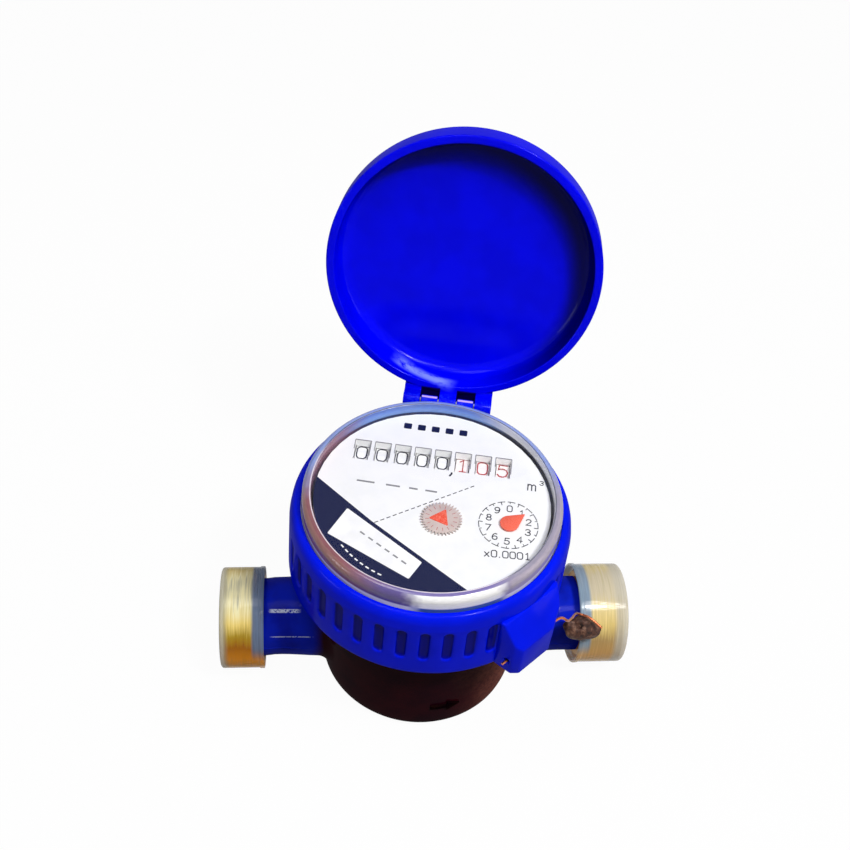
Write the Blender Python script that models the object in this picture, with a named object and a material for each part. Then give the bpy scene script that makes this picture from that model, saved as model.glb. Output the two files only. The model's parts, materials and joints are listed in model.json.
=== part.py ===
# Single-jet, dry-dial water meter for a 15 mm pipe, with its lid open and dust caps on both ends.
# Frame: origin at the centre of the base, +X along the pipe in the direction of flow, +Z up.
# The register, its clamp ring and its lid are turned about the vertical axis by REGISTER_YAW.

import math

import bmesh
import bpy
from mathutils import Matrix, Vector

# General fits
GAP = 0.0003                    # clearance between pieces that seat on each other
SLIP = 0.0004                   # clearance between pieces that are pushed into each other

# Radii of the register and of what it stands in: each wall is named, and the rest follows
REGISTER_RADIUS = 0.0340
FLANGE_LAP = 0.0002             # how far the casting's flange stands out past the register cup
FLANGE_STEP = 0.0013
POCKET_WALL = 0.0024
SHOULDER_FLARE = 0.0043
CUP_TAPER = 0.0014
CHAMBER_WALL = 0.0037
FLANGE_RADIUS = REGISTER_RADIUS + FLANGE_LAP
SHOULDER_RADIUS = FLANGE_RADIUS - FLANGE_STEP
POCKET_RADIUS = SHOULDER_RADIUS - POCKET_WALL
CUP_TOP_RADIUS = SHOULDER_RADIUS - SHOULDER_FLARE
CUP_RADIUS = CUP_TOP_RADIUS - CUP_TAPER
CHAMBER_RADIUS = CUP_RADIUS - CHAMBER_WALL

# Body casting
BODY_LENGTH = 0.110
PIPE_OFFSET = 0.0009            # how far the pipe's middle lies downstream of the register's axis
PIPE_AXIS_Z = 0.0155
BORE_RADIUS = 0.0075
BORE_WALL = 0.0075              # left between the wide bore and the chamber
PORT_RADIUS = 0.0046
PORT_ANGLE = math.radians(37.76)                    # of the jet across the pipe's axis
THREAD_RADIUS = 0.0132          # crest of the 3/4 inch end thread
THREAD_LENGTH = 0.0104
THREAD_CHAMFER = 0.0008
NECK_RADIUS = 0.0105
NECK_ROOT_RADIUS = 0.0113
INLET_NECK_RISE = 0.0006        # the inlet neck is a little taller than round
CUP_HEIGHT = 0.0358
BASE_FILLET = 0.0045
SHOULDER_HEIGHT = 0.0053
FLANGE_THICKNESS = 0.0041
POCKET_DEPTH = 0.0085
CHAMBER_FLOOR_Z = 0.0050
PIVOT_BOSS_RADIUS = 0.0032
PIVOT_BOSS_HEIGHT = 0.0036
BORE_DEPTH = BODY_LENGTH / 2 - CHAMBER_RADIUS - BORE_WALL
PORT_END_X = CHAMBER_RADIUS * 0.55
PORT_OFFSET = math.tan(PORT_ANGLE) * (CHAMBER_RADIUS + BORE_WALL - PORT_END_X)
THREAD_START = BODY_LENGTH / 2 - THREAD_LENGTH      # from the register's axis, at both ends
FLANGE_Z = CUP_HEIGHT + SHOULDER_FLARE + SHOULDER_HEIGHT
RIM_Z = FLANGE_Z + FLANGE_THICKNESS
LEDGE_Z = RIM_Z - POCKET_DEPTH

# Strainer in the inlet bore
STRAINER_SEAT = 0.0090          # from the bore's inner end
STRAINER_THICKNESS = 0.0012
STRAINER_SLOTS = 5
STRAINER_SLOT_WIDTH = 0.0014
STRAINER_DEPTH = BORE_DEPTH - STRAINER_SEAT

# Impeller and what turns it
BLADES = 8
BLADE_THICKNESS = 0.0009
BLADE_TIP_GAP = 0.0013
BLADE_LIFT = 0.0008
BLADE_HEIGHT = 0.0170
HUB_RADIUS = 0.0042
PIN_RADIUS = 0.0008
MAGNET_RADIUS = 0.0058
MAGNET_BORE_RADIUS = 0.0023
MAGNET_HEIGHT = 0.0034
SPINDLE_RADIUS = 0.0007
TIP_RADIUS = 0.00055
BLADE_RADIUS = CHAMBER_RADIUS - BLADE_TIP_GAP
BLADE_Z = CHAMBER_FLOOR_Z + PIVOT_BOSS_HEIGHT + BLADE_LIFT

# Separator plate, seal and magnetic shield between the wet and the dry side
PLATE_LAND = 0.0052             # the plate's rim outside its spigot
PLATE_SPIGOT_HEIGHT = 0.0029
PLATE_RIM_THICKNESS = 0.0030
SEAL_WIRE_RADIUS_RUBBER = 0.0013
WELL_WALL = 0.0014
SHIELD_RADIUS = 0.0102
SHIELD_THICKNESS = 0.0014
SHIELD_HEIGHT = 0.0034
PLATE_SPIGOT_RADIUS = POCKET_RADIUS - PLATE_LAND
PLATE_TOP_Z = LEDGE_Z + GAP + PLATE_SPIGOT_HEIGHT + PLATE_RIM_THICKNESS

# Register cup, clear housing and dial
CUP_WALL = 0.0026
CUP_FLOOR = 0.0012
REGISTER_HEIGHT = 0.0114        # of the register cup above the casting's rim
LENS_FLANGE_LAP = 0.0003        # how far the housing's flange stands out past the register cup
LENS_FLANGE_WIDTH = 0.0011
LENS_FLANGE_THICKNESS = 0.0012
LENS_WALL = 0.0023
LENS_TOP_THICKNESS = 0.0016
DIAL_THICKNESS = 0.0008
DISPLAY_THICKNESS = 0.0006      # flow star and pointer above the dial
DISPLAY_CLEARANCE = 0.0007
REGISTER_YAW = math.radians(-10.3)
REGISTER_TOP_Z = RIM_Z + GAP + REGISTER_HEIGHT
LENS_FLANGE_RADIUS = REGISTER_RADIUS + LENS_FLANGE_LAP
LENS_RADIUS = LENS_FLANGE_RADIUS - LENS_FLANGE_WIDTH
DIAL_RADIUS = LENS_RADIUS - LENS_WALL - GAP
CUP_BOTTOM_Z = PLATE_TOP_Z + GAP
CUP_FLOOR_Z = CUP_BOTTOM_Z + CUP_FLOOR

# Number wheels
WHEELS = 8
WHEEL_ROW_START = 0.0103        # from the dial's left edge to the first wheel's middle
WHEEL_ROW_END = 0.01352         # from the last wheel's middle to the dial's right edge
WHEEL_CORNER_GAP = 0.00064      # from the first wheel's back corner to the register cup's wall
WHEEL_RADIUS = 0.0076
WHEEL_FACES = 20
WHEEL_SPACE = 0.00194           # between the rims of two wheels
WHEEL_GEAR_TEETH = 20
WHEEL_GEAR_WIDTH = 0.0009
WHEEL_GEAR_STEP = 0.0008        # from the rim down to the gear's pitch circle
WORM_WHEEL_WIDTH = 0.0022       # the last wheel's gear, which the worm drives
WHEEL_DROP = 0.0006             # from the underside of the dial down to the wheels
WHEEL_FLOOR_GAP = 0.0009        # from the wheels down to the register cup's floor
AXLE_RADIUS = 0.0008
TRANSFER_TEETH = 8
TRANSFER_WIDTH = 0.0014
TRANSFER_ANGLE = math.radians(5)
WINDOW_BAR = 0.00134            # between two windows
WINDOW_HEIGHT = 0.0066
FIRST_WHEEL_X = WHEEL_ROW_START - DIAL_RADIUS
WHEEL_PITCH = (DIAL_RADIUS - WHEEL_ROW_END - FIRST_WHEEL_X) / (WHEELS - 1)
RIM_WIDTH = WHEEL_PITCH - WHEEL_SPACE
WHEEL_ROW_Y = math.sqrt((REGISTER_RADIUS - CUP_WALL - WHEEL_CORNER_GAP) ** 2
                        - (RIM_WIDTH / 2 - FIRST_WHEEL_X) ** 2) - WHEEL_RADIUS
WINDOW_WIDTH = WHEEL_PITCH - WINDOW_BAR
WHEEL_MODULE = (WHEEL_RADIUS - WHEEL_GEAR_STEP) * 2 / WHEEL_GEAR_TEETH
DIAL_TOP_Z = CUP_FLOOR_Z + WHEEL_FLOOR_GAP + WHEEL_RADIUS * 2 + WHEEL_DROP + DIAL_THICKNESS
LENS_TOP_Z = DIAL_TOP_Z + GAP + DISPLAY_THICKNESS + DISPLAY_CLEARANCE + LENS_TOP_THICKNESS

# Gear train from the follower magnet to the pointer and the number wheels
STAR_X, STAR_Y = 0.0028, -0.0062
POINTER_INSET = 0.0107          # from the dial's right edge to the pointer's spindle
WORM_BACKLASH = 0.00006
STAR_RADIUS = 0.00535
STAR_TEETH = 24
STAR_TOOTH_DEPTH = 0.0010
TRAIN_MODULE = 0.0005
PINION_TEETH = 8
STAR_GEAR_TEETH = 22
IDLER_GEAR_TEETH = 30
POINTER_GEAR_TEETH = 28
WORM_GEAR_TEETH = 14
GEAR_THICKNESS = 0.0010
PINION_THICKNESS = 0.0017
WORM_PITCH_RADIUS = 0.0015
WORM_LENGTH = 0.0052
POINTER_LENGTH = 0.0052
POINTER_BULB = 0.0024
POINTER_ANGLE = math.radians(44)
POINTER_X = DIAL_RADIUS - POINTER_INSET
FRAME_THICKNESS = 0.0012
POST_RADIUS = 0.0015
POST_INSETS = (0.0106, 0.0086, 0.0056, 0.0044)      # in from the dial's left, front, left and right edge

# Clamp ring
RING_WALL = 0.0018              # outside the clear housing's flange, at the top
RING_TAPER = 0.0006
RING_BEAD = 0.0025              # the lip that holds under the casting's flange
RING_LIP_THICKNESS = 0.0018
RING_EDGE = 0.0014
RING_EDGE_DROP = 0.0024
GRIPS = 40
GRIP_WIDTH = 0.0029
GRIP_LENGTH = 0.0110
GRIP_DEPTH = 0.0008
GRIP_RISE = 0.00025             # above the middle of the ring's height
SEAL_LUG_ANGLE = math.radians(-40.3)
SEAL_LUG_LENGTH = 0.0050        # out from the ring's foot
SEAL_LUG_WIDTH = 0.0200
SEAL_LUG_DROP = 0.0048          # from the ring's top down to the lug's
SEAL_LUG_CHAMFER = 0.0025
SEAL_HOLE_RADIUS = 0.0009
SEAL_HOLE_INSET = 0.0030
SEAL_HOLE_RISE = 0.0045
RING_TOP_RADIUS = LENS_FLANGE_RADIUS + RING_WALL
RING_BOTTOM_RADIUS = RING_TOP_RADIUS + RING_TAPER
RING_TOP_Z = REGISTER_TOP_Z + GAP + LENS_FLANGE_THICKNESS + GAP + RING_LIP_THICKNESS
RING_BOTTOM_Z = FLANGE_Z - RING_BEAD
GRIP_CENTRE_Z = (RING_TOP_Z + RING_BOTTOM_Z) / 2 + GRIP_RISE
SEAL_LUG_REACH = RING_BOTTOM_RADIUS + SEAL_LUG_LENGTH
SEAL_LUG_TOP_Z = RING_TOP_Z - SEAL_LUG_DROP

# Hinge and lid
HINGE_STANDOFF = 0.0018         # of the pin behind the lid's edge
HINGE_WIDTH = 0.0246
HINGE_HOOK_WIDTH = 0.0046
HINGE_HOOK_X = 0.0050
KNUCKLE_RADIUS = 0.0019
HINGE_PIN_RADIUS = 0.0008
LID_LAP = 0.0006                # how far the lid stands out past the ring's top
LID_WALL = 0.0023
LID_HEIGHT = 0.0100
LID_SKIN = 0.0013
LID_EDGE_FILLET = 0.0026
LID_INNER_FILLET = 0.0036
LID_OPEN_ANGLE = math.radians(106)
LID_RADIUS = RING_TOP_RADIUS + LID_LAP
HINGE_BACK = LID_RADIUS + HINGE_STANDOFF
HINGE_Z = RING_TOP_Z - KNUCKLE_RADIUS

# Dust caps
CAP_RADIUS = 0.01415
CAP_WALL = 0.0006
CAP_END = 0.0011
CAP_SKIRT = 0.0011              # of each cap past the thread's inner end
CAP_CHAMFER = 0.0009
CAP_BEAD = 0.0002
CAP_RIM_X = THREAD_START - CAP_SKIRT                # from the register's axis, at both ends

# Seal and its wire
LEAD_INSET = 0.0001             # of the lead's middle from the cap's rim
LEAD_X, LEAD_Y, LEAD_Z = CAP_RIM_X - LEAD_INSET, -0.0134, 0.0272
LEAD_LENGTH = 0.0112
LEAD_WIDTH = 0.0074
LEAD_THICKNESS = 0.0048
SEAL_WIRE_RADIUS = 0.0004

# Facets
ROUND = 48
MEDIUM = 32
SMALL = 20
TINY = 10

COLOURS = {
    "painted_brass": ((0.10, 0.03, 0.02), 0.35, 0.4),
    "blue_plastic": ((0.0, 0.0, 0.72), 0.25, 0.0),
    "clear_plastic": ((0.80, 0.86, 0.92), 0.05, 0.0),
    "cap_plastic": ((0.86, 0.80, 0.56), 0.30, 0.0),
    "white_dial": ((0.92, 0.92, 0.92), 0.45, 0.0),
    "white_plastic": ((0.85, 0.85, 0.83), 0.40, 0.0),
    "black_wheel": ((0.90, 0.90, 0.88), 0.40, 0.0),
    "red_wheel": ((0.90, 0.84, 0.82), 0.40, 0.0),
    "red_plastic": ((0.90, 0.12, 0.04), 0.35, 0.0),
    "steel": ((0.60, 0.60, 0.62), 0.30, 1.0),
    "magnet": ((0.10, 0.10, 0.11), 0.50, 0.6),
    "rubber": ((0.03, 0.03, 0.03), 0.70, 0.0),
    "lead": ((0.26, 0.20, 0.17), 0.55, 0.7),
    "copper": ((0.62, 0.28, 0.14), 0.30, 1.0),
}

materials = {}


def clear_scene():
    for item in list(bpy.data.objects):
        bpy.data.objects.remove(item, do_unlink=True)


def material(name):
    if name not in materials:
        colour, roughness, metallic = COLOURS[name]
        made = bpy.data.materials.new(name)
        made.use_nodes = True
        shader = made.node_tree.nodes["Principled BSDF"]
        shader.inputs["Base Color"].default_value = (*colour, 1.0)
        shader.inputs["Roughness"].default_value = roughness
        shader.inputs["Metallic"].default_value = metallic
        materials[name] = made
    return materials[name]


def arc(cx, cy, radius, start, end, steps):
    return [(cx + radius * math.cos(start + (end - start) * i / steps),
             cy + radius * math.sin(start + (end - start) * i / steps)) for i in range(steps + 1)]


def rounded(corners, facets=3):
    """An outline whose corners may carry the radius of their fillet, and its number of facets."""
    outline = []
    count = len(corners)
    for i, corner in enumerate(corners):
        here = Vector(corner[:2])
        radius = corner[2] if len(corner) > 2 else 0.0
        if radius <= 0.0:
            outline.append(tuple(here))
            continue
        before = (Vector(corners[i - 1][:2]) - here).normalized()
        after = (Vector(corners[(i + 1) % count][:2]) - here).normalized()
        half = before.angle(after) / 2
        reach = radius / math.tan(half)
        centre = here + (before + after).normalized() * (radius / math.sin(half))
        start = here + before * reach - centre
        end = here + after * reach - centre
        turn = start.angle_signed(end)
        steps = corner[3] if len(corner) > 3 else facets
        for step in range(steps + 1):
            spot = Vector(start)
            spot.rotate(Matrix.Rotation(-turn * step / steps, 2))
            outline.append(tuple(centre + spot))
    return outline


def mesh_object(name, bm, colour=None, place=None, smooth=35):
    bmesh.ops.remove_doubles(bm, verts=bm.verts, dist=1e-7)
    bmesh.ops.recalc_face_normals(bm, faces=bm.faces)
    mesh = bpy.data.meshes.new(name)
    bm.to_mesh(mesh)
    bm.free()
    made = bpy.data.objects.new(name, mesh)
    bpy.context.scene.collection.objects.link(made)
    if place is not None:
        made.matrix_world = place
    if colour:
        mesh.materials.append(material(colour))
        mesh.shade_smooth()
        mesh.set_sharp_from_angle(angle=math.radians(smooth))
    return made


def turned(name, profile, colour=None, segments=ROUND, place=None):
    """A profile of (radius, height) corners, turned about the vertical axis."""
    bm = bmesh.new()
    points = [bm.verts.new((r, 0.0, z)) for r, z in profile]
    on_axis = abs(profile[0][0]) < 1e-9 and abs(profile[-1][0]) < 1e-9
    pairs = list(zip(points, points[1:]))
    if not on_axis:
        pairs.append((points[-1], points[0]))
    edges = [bm.edges.new(pair) for pair in pairs]
    bmesh.ops.spin(bm, geom=points + edges, cent=(0, 0, 0), axis=(0, 0, 1), angle=math.tau, steps=segments,
                   use_merge=True)
    return mesh_object(name, bm, colour, place)


def prism(name, outline, low, high, colour=None, place=None):
    """An outline in X and Y, raised from one height to another."""
    bm = bmesh.new()
    add_prism(bm, outline, low, high)
    return mesh_object(name, bm, colour, place)


def add_prism(bm, outline, low, high, place=None):
    base = [bm.verts.new((x, y, low)) for x, y in outline]
    face = bm.faces.new(base)
    raised = bmesh.ops.extrude_face_region(bm, geom=[face])["geom"]
    tops = [item for item in raised if isinstance(item, bmesh.types.BMVert)]
    bmesh.ops.translate(bm, verts=tops, vec=(0, 0, high - low))
    if place is not None:
        bmesh.ops.transform(bm, matrix=place, verts=base + tops)


def box_outline(x0, x1, y0, y1):
    return [(x0, y0), (x1, y0), (x1, y1), (x0, y1)]


def circle_outline(cx, cy, radius, sides):
    return [(cx + radius * math.cos(math.tau * i / sides), cy + radius * math.sin(math.tau * i / sides))
            for i in range(sides)]


def boolean(target, tool, operation):
    change = target.modifiers.new(operation.lower() + "_" + tool.name, "BOOLEAN")
    change.operation = operation
    change.solver = "EXACT"
    change.object = tool
    tool.hide_render = True
    tool.display_type = "WIRE"


def cut(target, *tools):
    for tool in tools:
        boolean(target, tool, "DIFFERENCE")


def join(target, *tools):
    for tool in tools:
        boolean(target, tool, "UNION")


def settled(made):
    """The object with its modifiers applied, so that copies can share its mesh."""
    bpy.context.view_layer.update()
    seen = made.evaluated_get(bpy.context.evaluated_depsgraph_get())
    mesh = bpy.data.meshes.new_from_object(seen)
    made.modifiers.clear()
    made.data = mesh
    mesh.shade_smooth()
    mesh.set_sharp_from_angle(angle=math.radians(35))
    return made


def copy_of(source, name, colour, place):
    made = bpy.data.objects.new(name, source.data.copy())
    made.data.materials.clear()
    made.data.materials.append(material(colour))
    bpy.context.scene.collection.objects.link(made)
    made.matrix_world = place
    return made


def at(x=0.0, y=0.0, z=0.0):
    return Matrix.Translation((x, y, z))


def register_place(x=0.0, y=0.0, z=0.0):
    """A place given in the register's own turned frame."""
    return Matrix.Rotation(REGISTER_YAW, 4, "Z") @ at(x, y, z)


ALONG_X = Matrix.Rotation(math.radians(90), 4, "Y")


def outward(sign):
    """Turns +Z to point out of the inlet end (-1) or the outlet end (+1)."""
    return Matrix.Rotation(math.radians(90) * sign, 4, "Y")


# Gears

ADDENDUM = 0.80                 # in modules
DEDENDUM = 1.80
TIP_SHARE = 0.20                # of the pitch, at the tip


def gear_outline(teeth, module, phase=0.0):
    pitch_radius = teeth * module / 2
    step = math.tau / teeth
    root = pitch_radius - DEDENDUM * module
    tip = pitch_radius + ADDENDUM * module
    outline = []
    for i in range(teeth):
        middle = phase + i * step
        outline.append((tip, middle - step * TIP_SHARE / 2))
        outline.append((tip, middle + step * TIP_SHARE / 2))
        outline.append((root, middle + step / 2))
    return [(r * math.cos(a), r * math.sin(a)) for r, a in outline]


def meshing_phase(teeth, phase, direction, other_teeth):
    """The phase that puts the other gear's gap opposite this gear's tooth along a direction."""
    along = (direction - phase) / (math.tau / teeth)
    return direction + math.pi - (0.5 - along) * math.tau / other_teeth


def stacked_gear(bm, layers):
    for outline, low, high in layers:
        add_prism(bm, outline, low, high)


def helical_thread(name, core, tip, pitch, length, sides, hand):
    """A closed worm: one thread whose profile is sheared along its helix, with a flat-shaded end at each side."""
    shares = (0.0, 0.30, 0.42, 0.58, 0.70)
    radii = (core, core, tip, tip, core)
    turns = int(length / pitch)
    count = turns * len(shares) + 1
    bm = bmesh.new()
    columns = []
    for side in range(sides + 1):
        angle = math.tau * side / sides * hand
        rise = pitch * side / sides
        column = []
        for row in range(count):
            turn, part = divmod(row, len(shares))
            height = rise + (turn + shares[part]) * pitch
            radius = radii[part]
            column.append(bm.verts.new((radius * math.cos(angle), radius * math.sin(angle), height)))
        columns.append(column)
    for left, right in zip(columns, columns[1:]):
        for row in range(count - 1):
            bm.faces.new((left[row], right[row], right[row + 1], left[row + 1]))
    bmesh.ops.remove_doubles(bm, verts=bm.verts, dist=1e-7)
    bm.verts.ensure_lookup_table()
    loose = [edge for edge in bm.edges if len(edge.link_faces) == 1]
    for ends in split_loops(loose):
        heights = [vert.co.z for edge in ends for vert in edge.verts]
        centre = bm.verts.new((0, 0, sum(heights) / len(heights)))
        for edge in ends:
            bm.faces.new((edge.verts[0], edge.verts[1], centre))
    return mesh_object(name, bm)


def split_loops(edges):
    left = set(edges)
    loops = []
    while left:
        first = left.pop()
        loop = [first]
        front = list(first.verts)
        while front:
            vert = front.pop()
            for edge in vert.link_edges:
                if edge in left:
                    left.remove(edge)
                    loop.append(edge)
                    front.extend(edge.verts)
        loops.append(loop)
    return loops


# Body casting

def pipe_end(sign):
    """How far the inlet (-1) or the outlet (+1) end is from the register's axis."""
    return BODY_LENGTH / 2 + sign * PIPE_OFFSET


def bore_end(sign):
    """How far from the register's axis the wide bore ends."""
    return pipe_end(sign) - BORE_DEPTH


def make_body():
    cup = rounded([
        (0.0, 0.0), (CUP_RADIUS, 0.0, BASE_FILLET), (CUP_TOP_RADIUS, CUP_HEIGHT),
        (SHOULDER_RADIUS, CUP_HEIGHT + SHOULDER_FLARE), (SHOULDER_RADIUS, FLANGE_Z),
        (FLANGE_RADIUS, FLANGE_Z), (FLANGE_RADIUS, RIM_Z), (0.0, RIM_Z)])
    body = turned("body_casting", cup, "painted_brass")
    for sign, end, rise in ((-1, "inlet", INLET_NECK_RISE), (1, "outlet", 0.0)):
        place = at(z=PIPE_AXIS_Z) @ outward(sign)
        neck = turned("neck_" + end, [
            (0.0, 0.0), (NECK_ROOT_RADIUS, 0.0), (NECK_ROOT_RADIUS, CUP_RADIUS * 0.95),
            (NECK_RADIUS + rise * 0.4, CUP_RADIUS * 1.25), (NECK_RADIUS + rise * 0.4, THREAD_START + GAP),
            (0.0, THREAD_START + GAP)],
            segments=MEDIUM, place=at(z=rise) @ place)
        thread = turned("thread_" + end, [
            (0.0, THREAD_START), (THREAD_RADIUS, THREAD_START), (THREAD_RADIUS, pipe_end(sign) - THREAD_CHAMFER),
            (THREAD_RADIUS - THREAD_CHAMFER, pipe_end(sign)), (0.0, pipe_end(sign))], segments=MEDIUM, place=place)
        join(body, neck, thread)
    boss_top = CHAMBER_FLOOR_Z + PIVOT_BOSS_HEIGHT
    chamber = turned("chamber", [
        (0.0, boss_top), (PIVOT_BOSS_RADIUS, boss_top), (PIVOT_BOSS_RADIUS, CHAMBER_FLOOR_Z),
        (CHAMBER_RADIUS, CHAMBER_FLOOR_Z), (CHAMBER_RADIUS, LEDGE_Z), (POCKET_RADIUS, LEDGE_Z),
        (POCKET_RADIUS, RIM_Z + GAP), (0.0, RIM_Z + GAP)])
    pivot_hole = turned("pivot_hole", [
        (0.0, CHAMBER_FLOOR_Z - PIN_RADIUS), (PIN_RADIUS + GAP, CHAMBER_FLOOR_Z - PIN_RADIUS),
        (PIN_RADIUS + GAP, boss_top + GAP), (0.0, boss_top + GAP)], segments=TINY)
    cut(body, chamber, pivot_hole)
    for sign, end in ((-1, "inlet"), (1, "outlet")):
        bore = prism("bore_" + end, circle_outline(0, 0, BORE_RADIUS, SMALL), bore_end(sign),
                     pipe_end(sign) + GAP, place=at(z=PIPE_AXIS_Z) @ outward(sign))
        start = Vector((sign * bore_end(sign), 0, PIPE_AXIS_Z))
        finish = Vector((sign * PORT_END_X, -PORT_OFFSET, PIPE_AXIS_Z))
        aim = (finish - start).to_track_quat("Z", "Y").to_matrix().to_4x4()
        port = prism("port_" + end, circle_outline(0, 0, PORT_RADIUS, 16), -BORE_RADIUS / 4,
                     (finish - start).length, place=Matrix.Translation(start) @ aim)
        cut(body, bore, port)
    return body


def make_strainer():
    middle = pipe_end(-1) - STRAINER_DEPTH
    place = at(z=PIPE_AXIS_Z) @ outward(-1)
    disc = prism("inlet_strainer", circle_outline(0, 0, BORE_RADIUS - GAP, SMALL),
                 middle - STRAINER_THICKNESS / 2, middle + STRAINER_THICKNESS / 2, "white_plastic", place)
    bm = bmesh.new()
    spread = BORE_RADIUS * 1.45 / STRAINER_SLOTS
    for i in range(STRAINER_SLOTS):
        centre = (i - (STRAINER_SLOTS - 1) / 2) * spread
        reach = math.sqrt((BORE_RADIUS * 0.84) ** 2 - centre ** 2)
        add_prism(bm, box_outline(-reach, reach, centre - STRAINER_SLOT_WIDTH / 2, centre + STRAINER_SLOT_WIDTH / 2),
                  middle - STRAINER_THICKNESS, middle + STRAINER_THICKNESS)
    cut(disc, mesh_object("strainer_slots", bm, place=place))


# Impeller side of the magnetic coupling

WELL_TOP_Z = PLATE_TOP_Z - WELL_WALL
IMPELLER_MAGNET_TOP_Z = WELL_TOP_Z - SLIP
IMPELLER_MAGNET_Z = IMPELLER_MAGNET_TOP_Z - MAGNET_HEIGHT


def make_impeller():
    pin_top = BLADE_Z + 0.0042
    turned("impeller_pin", [
        (0.0, CHAMBER_FLOOR_Z - PIN_RADIUS + GAP), (PIN_RADIUS, CHAMBER_FLOOR_Z - PIN_RADIUS + GAP),
        (PIN_RADIUS, pin_top - PIN_RADIUS), (0.0, pin_top)], "steel", TINY)
    flange_z = IMPELLER_MAGNET_Z - GAP
    hub = turned("impeller", [
        (0.0, pin_top + GAP), (PIN_RADIUS + GAP, pin_top + GAP - PIN_RADIUS), (PIN_RADIUS + GAP, BLADE_Z),
        (HUB_RADIUS, BLADE_Z), (HUB_RADIUS, flange_z - 0.0034), (MAGNET_RADIUS, flange_z - 0.0012),
        (MAGNET_RADIUS, flange_z), (MAGNET_BORE_RADIUS - GAP, flange_z),
        (MAGNET_BORE_RADIUS - GAP, IMPELLER_MAGNET_TOP_Z - GAP), (TIP_RADIUS, IMPELLER_MAGNET_TOP_Z - GAP),
        (TIP_RADIUS, WELL_TOP_Z + WELL_WALL / 3), (0.0, WELL_TOP_Z + WELL_WALL / 3)],
        "white_plastic", SMALL)
    bm = bmesh.new()
    for i in range(BLADES):
        place = Matrix.Rotation(math.tau * i / BLADES, 4, "Z")
        add_prism(bm, box_outline(HUB_RADIUS * 0.7, BLADE_RADIUS, -BLADE_THICKNESS / 2, BLADE_THICKNESS / 2),
                  BLADE_Z + GAP, BLADE_Z + BLADE_HEIGHT, place)
    join(hub, mesh_object("blades", bm))
    turned("impeller_magnet", [
        (MAGNET_BORE_RADIUS, IMPELLER_MAGNET_Z), (MAGNET_RADIUS, IMPELLER_MAGNET_Z),
        (MAGNET_RADIUS, IMPELLER_MAGNET_TOP_Z), (MAGNET_BORE_RADIUS, IMPELLER_MAGNET_TOP_Z)], "magnet", SMALL)


def make_separator():
    low = LEDGE_Z + GAP
    step = low + PLATE_SPIGOT_HEIGHT
    well = MAGNET_RADIUS + SLIP * 2
    plate = turned("separator_plate", [
        (0.0, WELL_TOP_Z + WELL_WALL / 2), (TIP_RADIUS + GAP, WELL_TOP_Z + WELL_WALL / 2),
        (TIP_RADIUS + GAP, WELL_TOP_Z), (well, WELL_TOP_Z), (well, low), (PLATE_SPIGOT_RADIUS, low),
        (PLATE_SPIGOT_RADIUS, step), (POCKET_RADIUS - GAP, step), (POCKET_RADIUS - GAP, PLATE_TOP_Z),
        (0.0, PLATE_TOP_Z)], "white_plastic", MEDIUM)
    groove_floor = PLATE_TOP_Z - GAP - SHIELD_HEIGHT
    inner = SHIELD_RADIUS - SHIELD_THICKNESS
    groove = turned("shield_groove", [
        (inner - GAP, groove_floor - GAP), (SHIELD_RADIUS + GAP, groove_floor - GAP),
        (SHIELD_RADIUS + GAP, PLATE_TOP_Z + GAP), (inner - GAP, PLATE_TOP_Z + GAP)], segments=SMALL)
    cut(plate, groove)
    turned("magnetic_shield", [
        (inner, groove_floor), (SHIELD_RADIUS, groove_floor), (SHIELD_RADIUS, groove_floor + SHIELD_HEIGHT),
        (inner, groove_floor + SHIELD_HEIGHT)], "steel", SMALL)
    middle = (LEDGE_Z + step) / 2
    seal = SEAL_WIRE_RADIUS_RUBBER
    centre = PLATE_SPIGOT_RADIUS + SLIP + seal
    turned("o_ring", arc(centre, middle, seal, 0, math.tau * 5 / 6, 5), "rubber", MEDIUM)


# Register

DIAL_UNDER_Z = DIAL_TOP_Z - DIAL_THICKNESS
AXLE_Z = DIAL_UNDER_Z - WHEEL_DROP - WHEEL_RADIUS
FRAME_TOP_Z = REGISTER_TOP_Z + FRAME_THICKNESS + GAP
FRAME_Z = FRAME_TOP_Z - FRAME_THICKNESS
BEARING_Z = CUP_FLOOR_Z - CUP_FLOOR / 2
LOWER_GEAR_Z = CUP_FLOOR_Z + SLIP
FOLLOWER_MAGNET_RADIUS = 0.0050
FOLLOWER_MAGNET_HEIGHT = 0.0020


def unit(module, first, second):
    return module * (first + second) / 2


def circle_meeting(first, first_radius, second, second_radius):
    """The nearer-to-front point at one distance from the first place and another from the second."""
    span = second - first
    along = (first_radius ** 2 - second_radius ** 2 + span.length ** 2) / (2 * span.length)
    away = math.sqrt(max(first_radius ** 2 - along ** 2, 0.0))
    ahead = span.normalized()
    return first + ahead * along + Vector((ahead.y, -ahead.x)) * away


LAST_WHEEL_X = FIRST_WHEEL_X + WHEEL_PITCH * (WHEELS - 1)
WHEEL_GEAR_RADIUS = WHEEL_GEAR_TEETH * WHEEL_MODULE / 2
WORM = Vector((LAST_WHEEL_X + RIM_WIDTH / 2 + GAP + WORM_PITCH_RADIUS + WHEEL_MODULE * 0.6,
               WHEEL_ROW_Y - WHEEL_GEAR_RADIUS - WORM_PITCH_RADIUS - WORM_BACKLASH))
STAR = Vector((STAR_X, STAR_Y))
POINTER = Vector((POINTER_X, WORM.y - math.sqrt(
    unit(TRAIN_MODULE, POINTER_GEAR_TEETH, WORM_GEAR_TEETH) ** 2 - (WORM.x - POINTER_X) ** 2)))
FOLLOWER = Vector((0.0, 0.0))
FIRST_MODULE = 2 * STAR.length / (PINION_TEETH + STAR_GEAR_TEETH)
IDLER = circle_meeting(STAR, unit(TRAIN_MODULE, PINION_TEETH, IDLER_GEAR_TEETH),
                       POINTER, unit(TRAIN_MODULE, PINION_TEETH, POINTER_GEAR_TEETH))
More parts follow.
